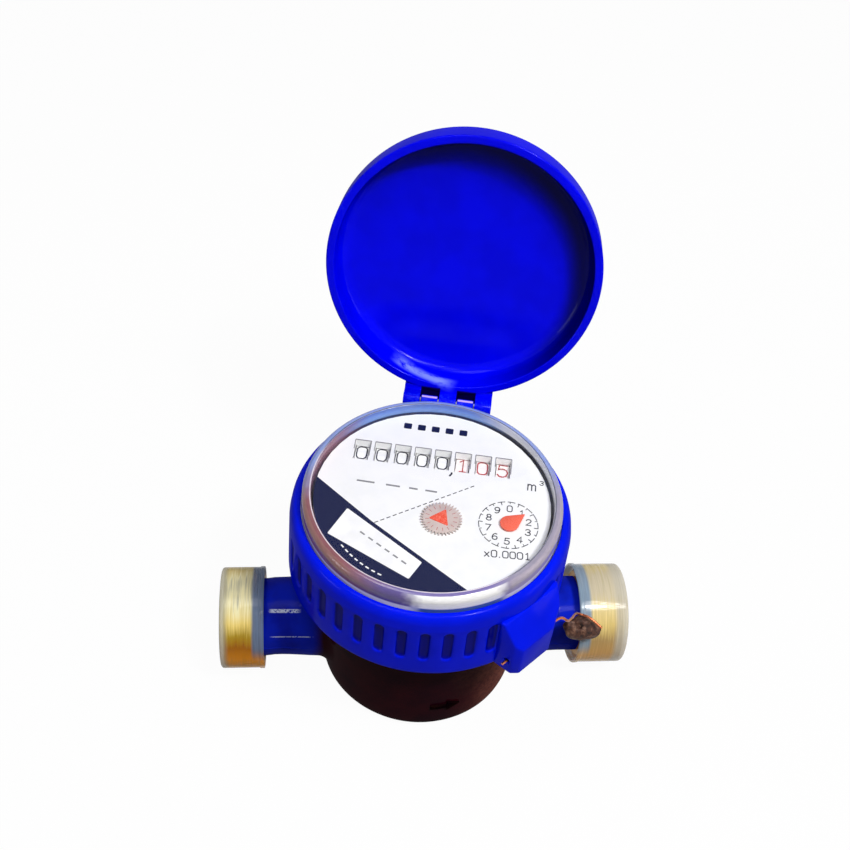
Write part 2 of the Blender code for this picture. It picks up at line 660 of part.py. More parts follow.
TRANSFER_REACH = unit(WHEEL_MODULE, WHEEL_GEAR_TEETH, TRANSFER_TEETH)
TRANSFER_Y = WHEEL_ROW_Y - TRANSFER_REACH * math.cos(TRANSFER_ANGLE)
TRANSFER_Z = AXLE_Z - TRANSFER_REACH * math.sin(TRANSFER_ANGLE)
CHEEK_GAP = 0.0006
LEFT_CHEEK_X = FIRST_WHEEL_X - RIM_WIDTH / 2 - WHEEL_GEAR_WIDTH - CHEEK_GAP
RIGHT_CHEEK_X = LAST_WHEEL_X + RIM_WIDTH / 2 + WORM_WHEEL_WIDTH + CHEEK_GAP
FINGER_X = LAST_WHEEL_X - RIM_WIDTH / 2 + CHEEK_GAP / 3
POSTS = ((POST_INSETS[0] - DIAL_RADIUS, -0.0140), (0.0130, POST_INSETS[1] - DIAL_RADIUS),
         (POST_INSETS[2] - DIAL_RADIUS, 0.0), (DIAL_RADIUS - POST_INSETS[3], 0.0032))


def make_register_cup():
    inner = REGISTER_RADIUS - CUP_WALL
    low_inner = POCKET_RADIUS - GAP - CUP_FLOOR
    shoulder = RIM_Z + GAP
    cup = turned("register_cup", [
        (0.0, CUP_BOTTOM_Z), (POCKET_RADIUS - GAP, CUP_BOTTOM_Z), (POCKET_RADIUS - GAP, shoulder),
        (REGISTER_RADIUS, shoulder), (REGISTER_RADIUS, REGISTER_TOP_Z), (inner, REGISTER_TOP_Z),
        (inner, shoulder + CUP_FLOOR), (low_inner, shoulder + CUP_FLOOR), (low_inner, CUP_FLOOR_Z),
        (0.0, CUP_FLOOR_Z)], "white_plastic", MEDIUM)
    bm = bmesh.new()
    for spot in (FOLLOWER, STAR, IDLER, POINTER, WORM):
        add_prism(bm, circle_outline(spot.x, spot.y, TIP_RADIUS + GAP, 8), BEARING_Z, CUP_FLOOR_Z + GAP)
    cut(cup, mesh_object("bearing_holes", bm, place=register_place()))


def make_frame():
    reach = DIAL_RADIUS - GAP
    front = WHEEL_ROW_Y - WHEEL_RADIUS - 0.0006
    start = math.atan2(front, -math.sqrt(reach ** 2 - front ** 2))
    finish = math.atan2(front, math.sqrt(reach ** 2 - front ** 2)) + math.tau
    plate = prism("gear_frame", arc(0, 0, reach, start, finish, SMALL), FRAME_Z, FRAME_TOP_Z, "white_plastic",
                  register_place())
    bm = bmesh.new()
    for x, y in POSTS:
        add_prism(bm, circle_outline(x, y, POST_RADIUS, 8), CUP_FLOOR_Z + GAP, DIAL_UNDER_Z - GAP)
    join(plate, mesh_object("posts", bm, place=register_place()))
    cheek_back = WHEEL_ROW_Y + AXLE_RADIUS * 3
    cheek_low = AXLE_Z - AXLE_RADIUS * 3
    bm = bmesh.new()
    add_prism(bm, box_outline(LEFT_CHEEK_X - FRAME_THICKNESS, LEFT_CHEEK_X, TRANSFER_Y - AXLE_RADIUS * 2, cheek_back),
              min(cheek_low, TRANSFER_Z - AXLE_RADIUS * 2), FRAME_TOP_Z - GAP)
    add_prism(bm, box_outline(RIGHT_CHEEK_X, RIGHT_CHEEK_X + FRAME_THICKNESS, front - FRAME_THICKNESS, cheek_back),
              FRAME_Z + GAP, FRAME_TOP_Z - GAP)
    add_prism(bm, box_outline(FINGER_X, FINGER_X + FRAME_THICKNESS, TRANSFER_Y - 0.0013, TRANSFER_Y + 0.0013),
              TRANSFER_Z - 0.0013, FRAME_TOP_Z - GAP)
    join(plate, mesh_object("cheeks", bm, place=register_place()))
    bm = bmesh.new()
    add_prism(bm, box_outline(RIGHT_CHEEK_X, RIGHT_CHEEK_X + FRAME_THICKNESS, WHEEL_ROW_Y - AXLE_RADIUS * 3,
                              cheek_back), cheek_low, FRAME_Z + GAP * 2)
    join(plate, mesh_object("right_cheek", bm, place=register_place()))
    bm = bmesh.new()
    for spot, radius in ((FOLLOWER, TIP_RADIUS), (IDLER, TIP_RADIUS), (WORM, TIP_RADIUS), (STAR, SPINDLE_RADIUS),
                         (POINTER, SPINDLE_RADIUS)):
        add_prism(bm, circle_outline(spot.x, spot.y, radius + GAP, 8), FRAME_Z - GAP, FRAME_TOP_Z + GAP)
    cut(plate, mesh_object("spindle_holes", bm, place=register_place()))
    bm = bmesh.new()
    span = (LEFT_CHEEK_X - FRAME_THICKNESS * 2, RIGHT_CHEEK_X + FRAME_THICKNESS * 2)
    add_prism(bm, circle_outline(0, 0, AXLE_RADIUS + GAP, 8), span[0], span[1], at(0, WHEEL_ROW_Y, AXLE_Z) @ ALONG_X)
    add_prism(bm, circle_outline(0, 0, AXLE_RADIUS + GAP, 8), span[0], FINGER_X + FRAME_THICKNESS * 2,
              at(0, TRANSFER_Y, TRANSFER_Z) @ ALONG_X)
    cut(plate, mesh_object("axle_holes", bm, place=register_place()))


def spindle(name, spot, layers, top, tip_top, colour="white_plastic"):
    """A vertical spindle with gears: layers are (outline, low, high)."""
    made = turned(name, [
        (0.0, BEARING_Z + GAP), (TIP_RADIUS, BEARING_Z + GAP), (TIP_RADIUS, CUP_FLOOR_Z + GAP),
        (SPINDLE_RADIUS, CUP_FLOOR_Z + GAP), (SPINDLE_RADIUS, top), (TIP_RADIUS, top), (TIP_RADIUS, tip_top),
        (0.0, tip_top)], colour, TINY, register_place(spot.x, spot.y))
    for i, (outline, low, high) in enumerate(layers):
        join(made, prism(f"{name}_gear_{i}", outline, low, high, place=register_place(spot.x, spot.y)))
    return made


def make_train():
    magnet_low = CUP_FLOOR_Z + 0.0006
    magnet_high = magnet_low + FOLLOWER_MAGNET_HEIGHT
    first_low = magnet_high + SLIP
    second_low = first_low + PINION_THICKNESS + SLIP
    tip_low = FRAME_Z - GAP
    direction = math.atan2(STAR.y, STAR.x)
    star_phase = meshing_phase(PINION_TEETH, 0.0, direction, STAR_GEAR_TEETH)
    follower = spindle("follower_spindle", FOLLOWER,
                       [(gear_outline(PINION_TEETH, FIRST_MODULE), first_low, first_low + PINION_THICKNESS)],
                       tip_low, FRAME_TOP_Z - GAP)
    collar = circle_outline(0, 0, MAGNET_BORE_RADIUS - GAP, TINY)
    join(follower, prism("magnet_collar", collar, magnet_low, magnet_high + GAP / 2, place=register_place()))
    turned("follower_magnet", [
        (MAGNET_BORE_RADIUS, magnet_low), (FOLLOWER_MAGNET_RADIUS, magnet_low),
        (FOLLOWER_MAGNET_RADIUS, magnet_high), (MAGNET_BORE_RADIUS, magnet_high)], "magnet", SMALL)
    to_idler = IDLER - STAR
    idler_phase = meshing_phase(PINION_TEETH, 0.0, math.atan2(to_idler.y, to_idler.x), IDLER_GEAR_TEETH)
    spindle("star_spindle", STAR, [
        (gear_outline(STAR_GEAR_TEETH, FIRST_MODULE, star_phase), first_low + GAP, first_low + GAP + GEAR_THICKNESS),
        (gear_outline(PINION_TEETH, TRAIN_MODULE), second_low, second_low + PINION_THICKNESS)],
        DIAL_TOP_Z - GAP, DIAL_TOP_Z)
    to_pointer = POINTER - IDLER
    pointer_phase = meshing_phase(PINION_TEETH, 0.0, math.atan2(to_pointer.y, to_pointer.x), POINTER_GEAR_TEETH)
    spindle("idler_spindle", IDLER, [
        (gear_outline(IDLER_GEAR_TEETH, TRAIN_MODULE, idler_phase), second_low + GAP,
         second_low + GAP + GEAR_THICKNESS),
        (gear_outline(PINION_TEETH, TRAIN_MODULE), LOWER_GEAR_Z, LOWER_GEAR_Z + PINION_THICKNESS)],
        tip_low, FRAME_TOP_Z - GAP)
    to_worm = WORM - POINTER
    worm_phase = meshing_phase(POINTER_GEAR_TEETH, pointer_phase, math.atan2(to_worm.y, to_worm.x), WORM_GEAR_TEETH)
    spindle("pointer_spindle", POINTER, [
        (gear_outline(POINTER_GEAR_TEETH, TRAIN_MODULE, pointer_phase), LOWER_GEAR_Z + GAP,
         LOWER_GEAR_Z + GAP + GEAR_THICKNESS)], DIAL_TOP_Z - GAP, DIAL_TOP_Z)
    worm = spindle("worm_spindle", WORM, [
        (gear_outline(WORM_GEAR_TEETH, TRAIN_MODULE, worm_phase), LOWER_GEAR_Z + GAP,
         LOWER_GEAR_Z + GAP + GEAR_THICKNESS)], tip_low, FRAME_TOP_Z - GAP)
    worm_pitch = math.pi * WHEEL_MODULE
    thread = helical_thread("worm_thread", WORM_PITCH_RADIUS - WHEEL_MODULE * 0.8,
                            WORM_PITCH_RADIUS + WHEEL_MODULE * 0.6, worm_pitch, WORM_LENGTH, 12, 1)
    # The thread's crest, half way along its profile, faces the units wheel between two of its teeth.
    crest = 0.5 * worm_pitch + worm_pitch / 4
    tooth_gap = AXLE_Z + worm_pitch / 2
    turns = round(WORM_LENGTH / worm_pitch / 2)
    thread.matrix_world = register_place(WORM.x, WORM.y, tooth_gap - crest - turns * worm_pitch)
    join(worm, thread)


def number_wheel(name, colour, gear_width, place):
    """A wheel about its own Z axis, with a gear on one face and a small drive boss on the other."""
    wheel = prism(name, circle_outline(0, 0, WHEEL_RADIUS, WHEEL_FACES), -RIM_WIDTH / 2, RIM_WIDTH / 2, colour)
    gear = prism("wheel_gear", gear_outline(WHEEL_GEAR_TEETH, WHEEL_MODULE, math.pi / 2), 0.0,
                 RIM_WIDTH / 2 + gear_width)
    boss_radius = TRANSFER_REACH - TRANSFER_TEETH * WHEEL_MODULE / 2 - WHEEL_MODULE * 1.6
    drive_width = WHEEL_PITCH - RIM_WIDTH - WHEEL_GEAR_WIDTH - SLIP
    boss = prism("wheel_drive", circle_outline(0, 0, boss_radius, TINY), -RIM_WIDTH / 2 - drive_width, 0.0)
    bore = prism("wheel_bore", circle_outline(0, 0, AXLE_RADIUS + GAP, 8), -WHEEL_PITCH, WHEEL_PITCH)
    join(wheel, gear, boss)
    cut(wheel, bore)
    settled(wheel)
    for tool in (gear, boss, bore):
        bpy.data.objects.remove(tool, do_unlink=True)
    wheel.matrix_world = place
    return wheel


def make_number_wheels():
    upright = Matrix.Rotation(math.radians(90), 4, "Y")
    wheel = None
    for i in range(WHEELS):
        place = register_place(FIRST_WHEEL_X + WHEEL_PITCH * i, WHEEL_ROW_Y, AXLE_Z) @ upright
        name = f"number_wheel_{i + 1}"
        colour = "black_wheel" if i < WHEELS - 3 else "red_wheel"
        if wheel is None:
            wheel = number_wheel(name, colour, WHEEL_GEAR_WIDTH, place)
        elif i == WHEELS - 1:
            number_wheel(name, colour, WORM_WHEEL_WIDTH, place)
        else:
            copy_of(wheel, name, colour, place)
    left = LEFT_CHEEK_X - FRAME_THICKNESS + GAP
    prism("wheel_axle", circle_outline(0, 0, AXLE_RADIUS, TINY), left, RIGHT_CHEEK_X + FRAME_THICKNESS - GAP,
          "steel", register_place(0, WHEEL_ROW_Y, AXLE_Z) @ ALONG_X)
    prism("transfer_axle", circle_outline(0, 0, AXLE_RADIUS, TINY), left, FINGER_X + FRAME_THICKNESS - GAP,
          "steel", register_place(0, TRANSFER_Y, TRANSFER_Z) @ ALONG_X)
    # Seen along +X a wheel's own angle runs from -Z towards +Y; the pinion lies in front, a little below.
    toward = math.atan2(TRANSFER_Y - WHEEL_ROW_Y, -(TRANSFER_Z - AXLE_Z))
    phase = meshing_phase(WHEEL_GEAR_TEETH, math.pi / 2, toward, TRANSFER_TEETH)
    pinion = prism("transfer_pinion_1", gear_outline(TRANSFER_TEETH, WHEEL_MODULE, phase),
                   -TRANSFER_WIDTH / 2, TRANSFER_WIDTH / 2, "white_plastic")
    hole = prism("pinion_bore", circle_outline(0, 0, AXLE_RADIUS + GAP, TINY), -TRANSFER_WIDTH, TRANSFER_WIDTH)
    cut(pinion, hole)
    settled(pinion)
    bpy.data.objects.remove(hole, do_unlink=True)
    for i in range(WHEELS - 1):
        x = FIRST_WHEEL_X + WHEEL_PITCH * i + WHEEL_PITCH / 2
        place = register_place(x, TRANSFER_Y, TRANSFER_Z) @ upright
        if i == 0:
            pinion.matrix_world = place
        else:
            copy_of(pinion, f"transfer_pinion_{i + 1}", "white_plastic", place)


def make_dial():
    plate = prism("dial_plate", circle_outline(0, 0, DIAL_RADIUS - GAP, ROUND), DIAL_UNDER_Z, DIAL_TOP_Z, "white_dial",
                  register_place())
    bm = bmesh.new()
    for i in range(WHEELS):
        x = FIRST_WHEEL_X + WHEEL_PITCH * i
        add_prism(bm, box_outline(x - WINDOW_WIDTH / 2, x + WINDOW_WIDTH / 2, WHEEL_ROW_Y - WINDOW_HEIGHT / 2,
                                  WHEEL_ROW_Y + WINDOW_HEIGHT / 2), DIAL_UNDER_Z - GAP, DIAL_TOP_Z + GAP)
    for spot in (STAR, POINTER):
        add_prism(bm, circle_outline(spot.x, spot.y, SPINDLE_RADIUS + GAP, 8), DIAL_UNDER_Z - GAP, DIAL_TOP_Z + GAP)
    cut(plate, mesh_object("dial_openings", bm, place=register_place()))
    low = DIAL_TOP_Z + GAP
    star = []
    for i in range(STAR_TEETH):
        middle = math.tau * i / STAR_TEETH
        step = math.tau / STAR_TEETH
        for radius, shift in ((STAR_RADIUS - STAR_TOOTH_DEPTH, -0.28), (STAR_RADIUS, -0.12), (STAR_RADIUS, 0.12),
                              (STAR_RADIUS - STAR_TOOTH_DEPTH, 0.28)):
            star.append((radius * math.cos(middle + shift * step), radius * math.sin(middle + shift * step)))
    prism("flow_star", star, low, low + DISPLAY_THICKNESS, "white_plastic", register_place(STAR.x, STAR.y))
    taper = math.asin(POINTER_BULB / POINTER_LENGTH)
    drop = arc(0, 0, POINTER_BULB, math.pi / 2 - taper, math.tau - math.pi / 2 + taper, TINY)
    drop.append((POINTER_LENGTH, 0.0))
    prism("dial_pointer", drop, low, low + DISPLAY_THICKNESS, "red_plastic",
          register_place(POINTER.x, POINTER.y) @ Matrix.Rotation(POINTER_ANGLE, 4, "Z"))


def make_lens():
    low = REGISTER_TOP_Z + GAP
    inner = LENS_RADIUS - LENS_WALL
    turned("register_housing", rounded([
        (0.0, LENS_TOP_Z - LENS_TOP_THICKNESS), (inner, LENS_TOP_Z - LENS_TOP_THICKNESS),
        (inner, low), (LENS_FLANGE_RADIUS, low), (LENS_FLANGE_RADIUS, low + LENS_FLANGE_THICKNESS),
        (LENS_RADIUS, low + LENS_FLANGE_THICKNESS), (LENS_RADIUS, LENS_TOP_Z, 0.0006), (0.0, LENS_TOP_Z)], 2),
        "clear_plastic", ROUND)


# Clamp ring

LIP_Z = REGISTER_TOP_Z + GAP + LENS_FLANGE_THICKNESS + GAP
RING_INNER_RADIUS = LENS_FLANGE_RADIUS + GAP
RING_LIP_RADIUS = LENS_RADIUS + GAP


def make_clamp_ring():
    bead_radius = SHOULDER_RADIUS + SLIP
    bead_top = FLANGE_Z - GAP
    edge = []
    for i in range(4):
        angle = math.radians(90) * i / 3
        edge.append((RING_TOP_RADIUS - RING_EDGE + RING_EDGE * math.cos(angle),
                     RING_TOP_Z - RING_EDGE_DROP + RING_EDGE_DROP * math.sin(angle)))
    low = rounded([
        (RING_LIP_RADIUS, LIP_Z), (RING_INNER_RADIUS, LIP_Z), (RING_INNER_RADIUS, bead_top), (bead_radius, bead_top),
        (bead_radius, RING_BOTTOM_Z), (RING_BOTTOM_RADIUS, RING_BOTTOM_Z, 0.0007, 1),
        (RING_TOP_RADIUS + 0.0001, RING_TOP_Z - RING_EDGE_DROP * 1.2), (RING_TOP_RADIUS, RING_TOP_Z)], 2)[:-1]
    ring = turned("clamp_ring", low + edge + [(RING_LIP_RADIUS, RING_TOP_Z)], "blue_plastic", ROUND,
                  register_place())
    reach = SEAL_LUG_REACH
    half = SEAL_LUG_WIDTH / 2
    inside = RING_INNER_RADIUS + 0.0004
    lug_place = register_place() @ Matrix.Rotation(SEAL_LUG_ANGLE, 4, "Z")
    lug = prism("seal_lug", [
        (inside, -half), (reach - SEAL_LUG_CHAMFER * 0.6, -half * 0.93), (reach, -half + SEAL_LUG_CHAMFER),
        (reach, half - SEAL_LUG_CHAMFER * 2.7), (reach - SEAL_LUG_CHAMFER, half - SEAL_LUG_CHAMFER * 0.9),
        (inside, half)], RING_BOTTOM_Z, SEAL_LUG_TOP_Z, place=lug_place)
    slope = prism("seal_lug_slope", [
        (reach - 0.0060, SEAL_LUG_TOP_Z + 0.001), (reach + 0.002, SEAL_LUG_TOP_Z - 0.0100),
        (reach + 0.002, SEAL_LUG_TOP_Z + 0.001)], -half - 0.002, half + 0.002,
        place=lug_place @ Matrix.Rotation(math.radians(90), 4, "X"))
    hole = prism("seal_hole", circle_outline(0, 0, SEAL_HOLE_RADIUS, 8), -half - 0.002, half + 0.002,
                 place=lug_place @ at(reach - SEAL_HOLE_INSET, 0, RING_BOTTOM_Z + SEAL_HOLE_RISE)
                 @ Matrix.Rotation(math.radians(90), 4, "X"))
    cut(lug, slope, hole)
    join(ring, lug)
    hook = hinge_hooks()
    join(ring, hook)
    pin_hole = prism("hook_bore", circle_outline(0, 0, HINGE_PIN_RADIUS + GAP, TINY), -HINGE_WIDTH / 2,
                     HINGE_WIDTH / 2, place=register_place(0, HINGE_BACK, HINGE_Z) @ ALONG_X)
    cut(ring, grips(), pin_hole)


def hinge_hooks():
    """Two arms from the ring's wall, each with a knuckle round the pin."""
    bm = bmesh.new()
    around = arc(HINGE_BACK, HINGE_Z, KNUCKLE_RADIUS, math.radians(-60), math.radians(120), 8)
    outline = [(RING_INNER_RADIUS + 0.0004, HINGE_Z - KNUCKLE_RADIUS * 3.2)] + around
    outline.append((RING_TOP_RADIUS - 0.0006, HINGE_Z + KNUCKLE_RADIUS * 0.2))
    outline.append((RING_INNER_RADIUS + 0.0004, HINGE_Z - KNUCKLE_RADIUS))
    turn = Matrix.Rotation(math.radians(90), 4, "Z") @ Matrix.Rotation(math.radians(90), 4, "X")
    for x in (-HINGE_HOOK_X, HINGE_HOOK_X):
        add_prism(bm, outline, -HINGE_HOOK_WIDTH / 2, HINGE_HOOK_WIDTH / 2, at(x) @ turn)
    return mesh_object("hinge_hooks", bm, place=register_place())


def grips():
    """The upright recesses round the ring, left out at the hinge and at the sealing lug."""
    bm = bmesh.new()
    half = GRIP_WIDTH / 2
    straight = GRIP_LENGTH / 2 - half
    outline = arc(0, straight, half, 0, math.pi, 3) + arc(0, -straight, half, math.pi, math.tau, 3)
    middle = (RING_TOP_RADIUS + RING_BOTTOM_RADIUS) / 2
    lug_half = math.atan2(SEAL_LUG_WIDTH / 2 + GRIP_WIDTH * 0.7, SEAL_LUG_REACH)
    hinge_half = math.atan2(HINGE_HOOK_X + HINGE_HOOK_WIDTH / 2 + half, HINGE_BACK)
    for i in range(GRIPS):
        angle = math.tau * (i + 0.5) / GRIPS
        from_lug = abs((angle - SEAL_LUG_ANGLE + math.pi) % math.tau - math.pi)
        from_hinge = abs((angle - math.pi / 2 + math.pi) % math.tau - math.pi)
        if from_lug < lug_half or from_hinge < hinge_half:
            continue
        place = Matrix.Rotation(angle, 4, "Z") @ at(middle - GRIP_DEPTH, 0, GRIP_CENTRE_Z)
        place = place @ Matrix.Rotation(math.radians(90), 4, "Z") @ Matrix.Rotation(math.radians(90), 4, "X")
        add_prism(bm, outline, 0.0, GRIP_DEPTH * 3, place)
    return mesh_object("grip_recesses", bm, place=register_place())


# Lid, modelled closed about its hinge axis and then swung open

def lid_place(angle):
    return register_place(0, HINGE_BACK, HINGE_Z) @ Matrix.Rotation(-angle, 4, "X")


def make_lid():
    rim = RING_TOP_Z + GAP - HINGE_Z
    top = rim + LID_HEIGHT
    place = lid_place(LID_OPEN_ANGLE)
    inner = LID_RADIUS - LID_WALL
    lid = turned("lid", rounded([
        (0.0, top - LID_SKIN), (inner, top - LID_SKIN, LID_INNER_FILLET), (inner, rim, 0.0004, 1),
        (LID_RADIUS, rim, 0.0004, 1), (LID_RADIUS, top, LID_EDGE_FILLET), (0.0, top)]), "blue_plastic", ROUND,
        place @ at(0, -HINGE_BACK, 0))
    outline = arc(0.0, 0.0, KNUCKLE_RADIUS, math.radians(180), math.radians(360), 8)
    outline += [(KNUCKLE_RADIUS, rim + 0.0050), (KNUCKLE_RADIUS * 0.2, rim + 0.0072),
                (LID_RADIUS - HINGE_BACK - LID_WALL * 0.6, rim + 0.0072),
                (LID_RADIUS - HINGE_BACK - LID_WALL * 0.6, rim + 0.0002), (-KNUCKLE_RADIUS, rim + 0.0002)]
    turn = Matrix.Rotation(math.radians(90), 4, "Z") @ Matrix.Rotation(math.radians(90), 4, "X")
    tongue = prism("lid_tongue", outline, -HINGE_WIDTH / 2, HINGE_WIDTH / 2, place=place @ turn)
    bm = bmesh.new()
    slot_half = HINGE_HOOK_WIDTH / 2 + GAP
    for x in (-HINGE_HOOK_X, HINGE_HOOK_X):
        add_prism(bm, box_outline(x - slot_half, x + slot_half, -KNUCKLE_RADIUS - 0.001, KNUCKLE_RADIUS + 0.001),
                  -KNUCKLE_RADIUS - 0.001, KNUCKLE_RADIUS + SLIP * 2)
    cut(tongue, mesh_object("hook_slots", bm, place=place))
    join(lid, tongue)
    bore = prism("lid_bore", circle_outline(0, 0, HINGE_PIN_RADIUS + GAP, TINY), -HINGE_WIDTH, HINGE_WIDTH,
                 place=place @ ALONG_X)
    cut(lid, bore)
    prism("hinge_pin", circle_outline(0, 0, HINGE_PIN_RADIUS, TINY), -HINGE_WIDTH / 2 + GAP, HINGE_WIDTH / 2 - GAP,
          "steel", register_place(0, HINGE_BACK, HINGE_Z) @ ALONG_X)


# Dust caps

def make_caps():
    rim = CAP_RIM_X
    inner = CAP_RADIUS - CAP_WALL
    for sign, name in ((-1, "inlet_cap"), (1, "outlet_cap")):
        end = pipe_end(sign) + GAP + CAP_END
        turned(name, [
            (0.0, end - CAP_END), (inner, end - CAP_END), (inner, rim), (CAP_RADIUS, rim),
            (CAP_RADIUS, rim + 0.0010), (CAP_RADIUS - CAP_BEAD, rim + 0.0014), (CAP_RADIUS - CAP_BEAD, end - CAP_CHAMFER),
            (CAP_RADIUS - CAP_CHAMFER, end), (0.0, end)], "cap_plastic", MEDIUM,
            at(z=PIPE_AXIS_Z) @ outward(sign))


# Lead seal and its wire

def tube(name, path, radius, sides, colour):
    """A round wire along a path of places."""
    points = [Vector(spot) for spot in path]
    bm = bmesh.new()
    rings = []
    side = Vector((0, 0, 1))
    for i, spot in enumerate(points):
        ahead = (points[min(i + 1, len(points) - 1)] - points[max(i - 1, 0)]).normalized()
        side = (side - ahead * side.dot(ahead)).normalized()
        other = ahead.cross(side)
        rings.append([bm.verts.new(spot + (side * math.cos(a) + other * math.sin(a)) * radius)
                      for a in (math.tau * k / sides for k in range(sides))])
    for first, second in zip(rings, rings[1:]):
        for k in range(sides):
            bm.faces.new((first[k], first[(k + 1) % sides], second[(k + 1) % sides], second[k]))
    bm.faces.new(rings[0][::-1])
    bm.faces.new(rings[-1])
    return mesh_object(name, bm, colour)


def smooth_path(spots, steps):
    """A Catmull-Rom curve through the spots."""
    points = [Vector(spot) for spot in spots]
    points = [points[0] * 2 - points[1]] + points + [points[-1] * 2 - points[-2]]
    path = []
    for a, b, c, d in zip(points, points[1:], points[2:], points[3:]):
        for step in range(steps):
            t = step / steps
            path.append((b * 2 + (c - a) * t + (a * 2 - b * 5 + c * 4 - d) * t * t
                         + (b * 3 - a - c * 3 + d) * t ** 3) / 2)
    path.append(points[-2])
    return path


def make_seal():
    lead = Vector((LEAD_X, LEAD_Y, LEAD_Z))
    place = Matrix.Translation(lead) @ Matrix.Rotation(math.radians(-4), 4, "Z") \
        @ Matrix.Rotation(math.radians(8), 4, "Y") @ Matrix.Rotation(math.radians(50), 4, "X")
    bm = bmesh.new()
    bmesh.ops.create_uvsphere(bm, u_segments=12, v_segments=8, radius=0.5)
    for vert in bm.verts:
        taper = 1.0 - 0.45 * max(vert.co.x, 0.0) * 2
        vert.co.y *= taper
        vert.co.z *= taper
    bmesh.ops.scale(bm, vec=(LEAD_LENGTH, LEAD_WIDTH, LEAD_THICKNESS), verts=bm.verts)
    mesh_object("lead_seal", bm, "lead", place)
    reach = SEAL_LUG_REACH - SEAL_HOLE_INSET
    height = RING_BOTTOM_Z + SEAL_HOLE_RISE
    turn = Matrix.Rotation(REGISTER_YAW + SEAL_LUG_ANGLE, 4, "Z")
    half = SEAL_LUG_WIDTH / 2
    path = [turn @ Vector((reach, -half - 0.0012, height)), turn @ Vector((reach, 0.0, height)),
            turn @ Vector((reach, half * 0.95, height)), turn @ Vector((reach + 0.0010, half + 0.0030, height - 0.0030)),
            lead + Vector((-0.0038, -0.0012, 0.0088)), lead + Vector((-0.0016, 0.0016, 0.0046)),
            lead + Vector((0.0010, 0.0004, 0.0046)), lead + Vector((0.0042, -0.0022, 0.0034))]
    tube("seal_wire", smooth_path(path, 3), SEAL_WIRE_RADIUS, 6, "copper")


def main():
    clear_scene()
    make_body()
    make_strainer()
    make_impeller()
    make_separator()
    make_register_cup()
    make_frame()
    make_train()
    make_number_wheels()
    make_dial()
    make_lens()
    make_clamp_ring()
    make_lid()
    make_caps()
    make_seal()


main()
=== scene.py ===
import json
import math

import bmesh
import bpy
from mathutils import Matrix, Vector


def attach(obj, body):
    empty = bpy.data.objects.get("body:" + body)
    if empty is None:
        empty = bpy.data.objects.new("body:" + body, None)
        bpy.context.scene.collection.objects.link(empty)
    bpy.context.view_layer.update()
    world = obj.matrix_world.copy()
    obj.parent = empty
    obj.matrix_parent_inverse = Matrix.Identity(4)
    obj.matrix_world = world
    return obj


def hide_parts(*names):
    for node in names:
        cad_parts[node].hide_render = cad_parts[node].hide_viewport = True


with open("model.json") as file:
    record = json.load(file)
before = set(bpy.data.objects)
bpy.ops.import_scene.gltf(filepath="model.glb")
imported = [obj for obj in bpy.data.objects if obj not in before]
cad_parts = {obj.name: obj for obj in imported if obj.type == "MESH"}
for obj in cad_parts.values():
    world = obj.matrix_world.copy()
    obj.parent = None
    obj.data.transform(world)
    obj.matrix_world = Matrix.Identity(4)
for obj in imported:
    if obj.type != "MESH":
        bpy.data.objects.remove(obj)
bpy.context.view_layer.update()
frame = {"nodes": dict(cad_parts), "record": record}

# Every size below is in millimetres; pieces are scaled to metres when their mesh is written.
# The register, its ring and its lid are turned about the vertical axis.
registerTurn = Matrix.Rotation(math.radians(-10.3), 4, "Z")


# Shader sockets

def feed(tree, socket, value):
    if isinstance(value, Socket):
        tree.links.new(value.out, socket)
    elif socket.type == "RGBA" and len(value) == 3:
        socket.default_value = (*value, 1.0)
    else:
        socket.default_value = value


class Socket:
    def __init__(self, tree, out=None):
        self.tree = tree
        self.out = out

    def node(self, kind, settings=None, sockets=None, out=0):
        made = self.tree.nodes.new(kind)
        for name, value in (settings or {}).items():
            if name == "stops":
                ramp = made.color_ramp
                while len(ramp.elements) < len(value):
                    ramp.elements.new(0.5)
                for element, (spot, colour) in zip(ramp.elements, value):
                    element.position = spot
                    element.color = (*colour, 1.0) if isinstance(colour, tuple) else (colour, colour, colour, 1.0)
            else:
                setattr(made, name, value)
        for name, value in (sockets or {}).items():
            feed(self.tree, made.inputs[name], value)
        return Socket(self.tree, made.outputs[out])

    def maths(self, operation, first, second=0.0):
        return self.node("ShaderNodeMath", {"operation": operation}, {0: first, 1: second})

    def __add__(self, other):
        return self.maths("ADD", self, other)

    def __radd__(self, other):
        return self.maths("ADD", other, self)

    def __sub__(self, other):
        return self.maths("SUBTRACT", self, other)

    def __rsub__(self, other):
        return self.maths("SUBTRACT", other, self)

    def __mul__(self, other):
        return self.maths("MULTIPLY", self, other)

    def __rmul__(self, other):
        return self.maths("MULTIPLY", other, self)

    def __truediv__(self, other):
        return self.maths("DIVIDE", self, other)

    def __abs__(self):
        return self.maths("ABSOLUTE", self)


def spots(s, stretch=(1, 1, 1)):  # a place on the piece, in millimetres
    coords = s.node("ShaderNodeTexCoord", out="Object")
    return s.node("ShaderNodeVectorMath", {"operation": "MULTIPLY"}, {0: coords, 1: [1000 * k for k in stretch]})


def noise(s, scale, detail=3.0, roughness=0.5, stretch=(1, 1, 1)):
    return s.node("ShaderNodeTexNoise", None, {"Vector": spots(s, stretch), "Scale": scale, "Detail": detail,
                                               "Roughness": roughness}, out="Fac")


def ramp(value, stops):
    return value.node("ShaderNodeValToRGB", {"stops": stops}, {"Fac": value}, out="Color")


def spread(value, low, high, first=0.0, second=1.0):  # from low to high of value, first to second
    return value.node("ShaderNodeMapRange", {"interpolation_type": "SMOOTHSTEP"},
                      {"Value": value, "From Min": low, "From Max": high, "To Min": first, "To Max": second})


def blend(factor, first, second):
    return factor.node("ShaderNodeMix", {"data_type": "RGBA"}, {0: factor, 6: first, 7: second}, out=2)


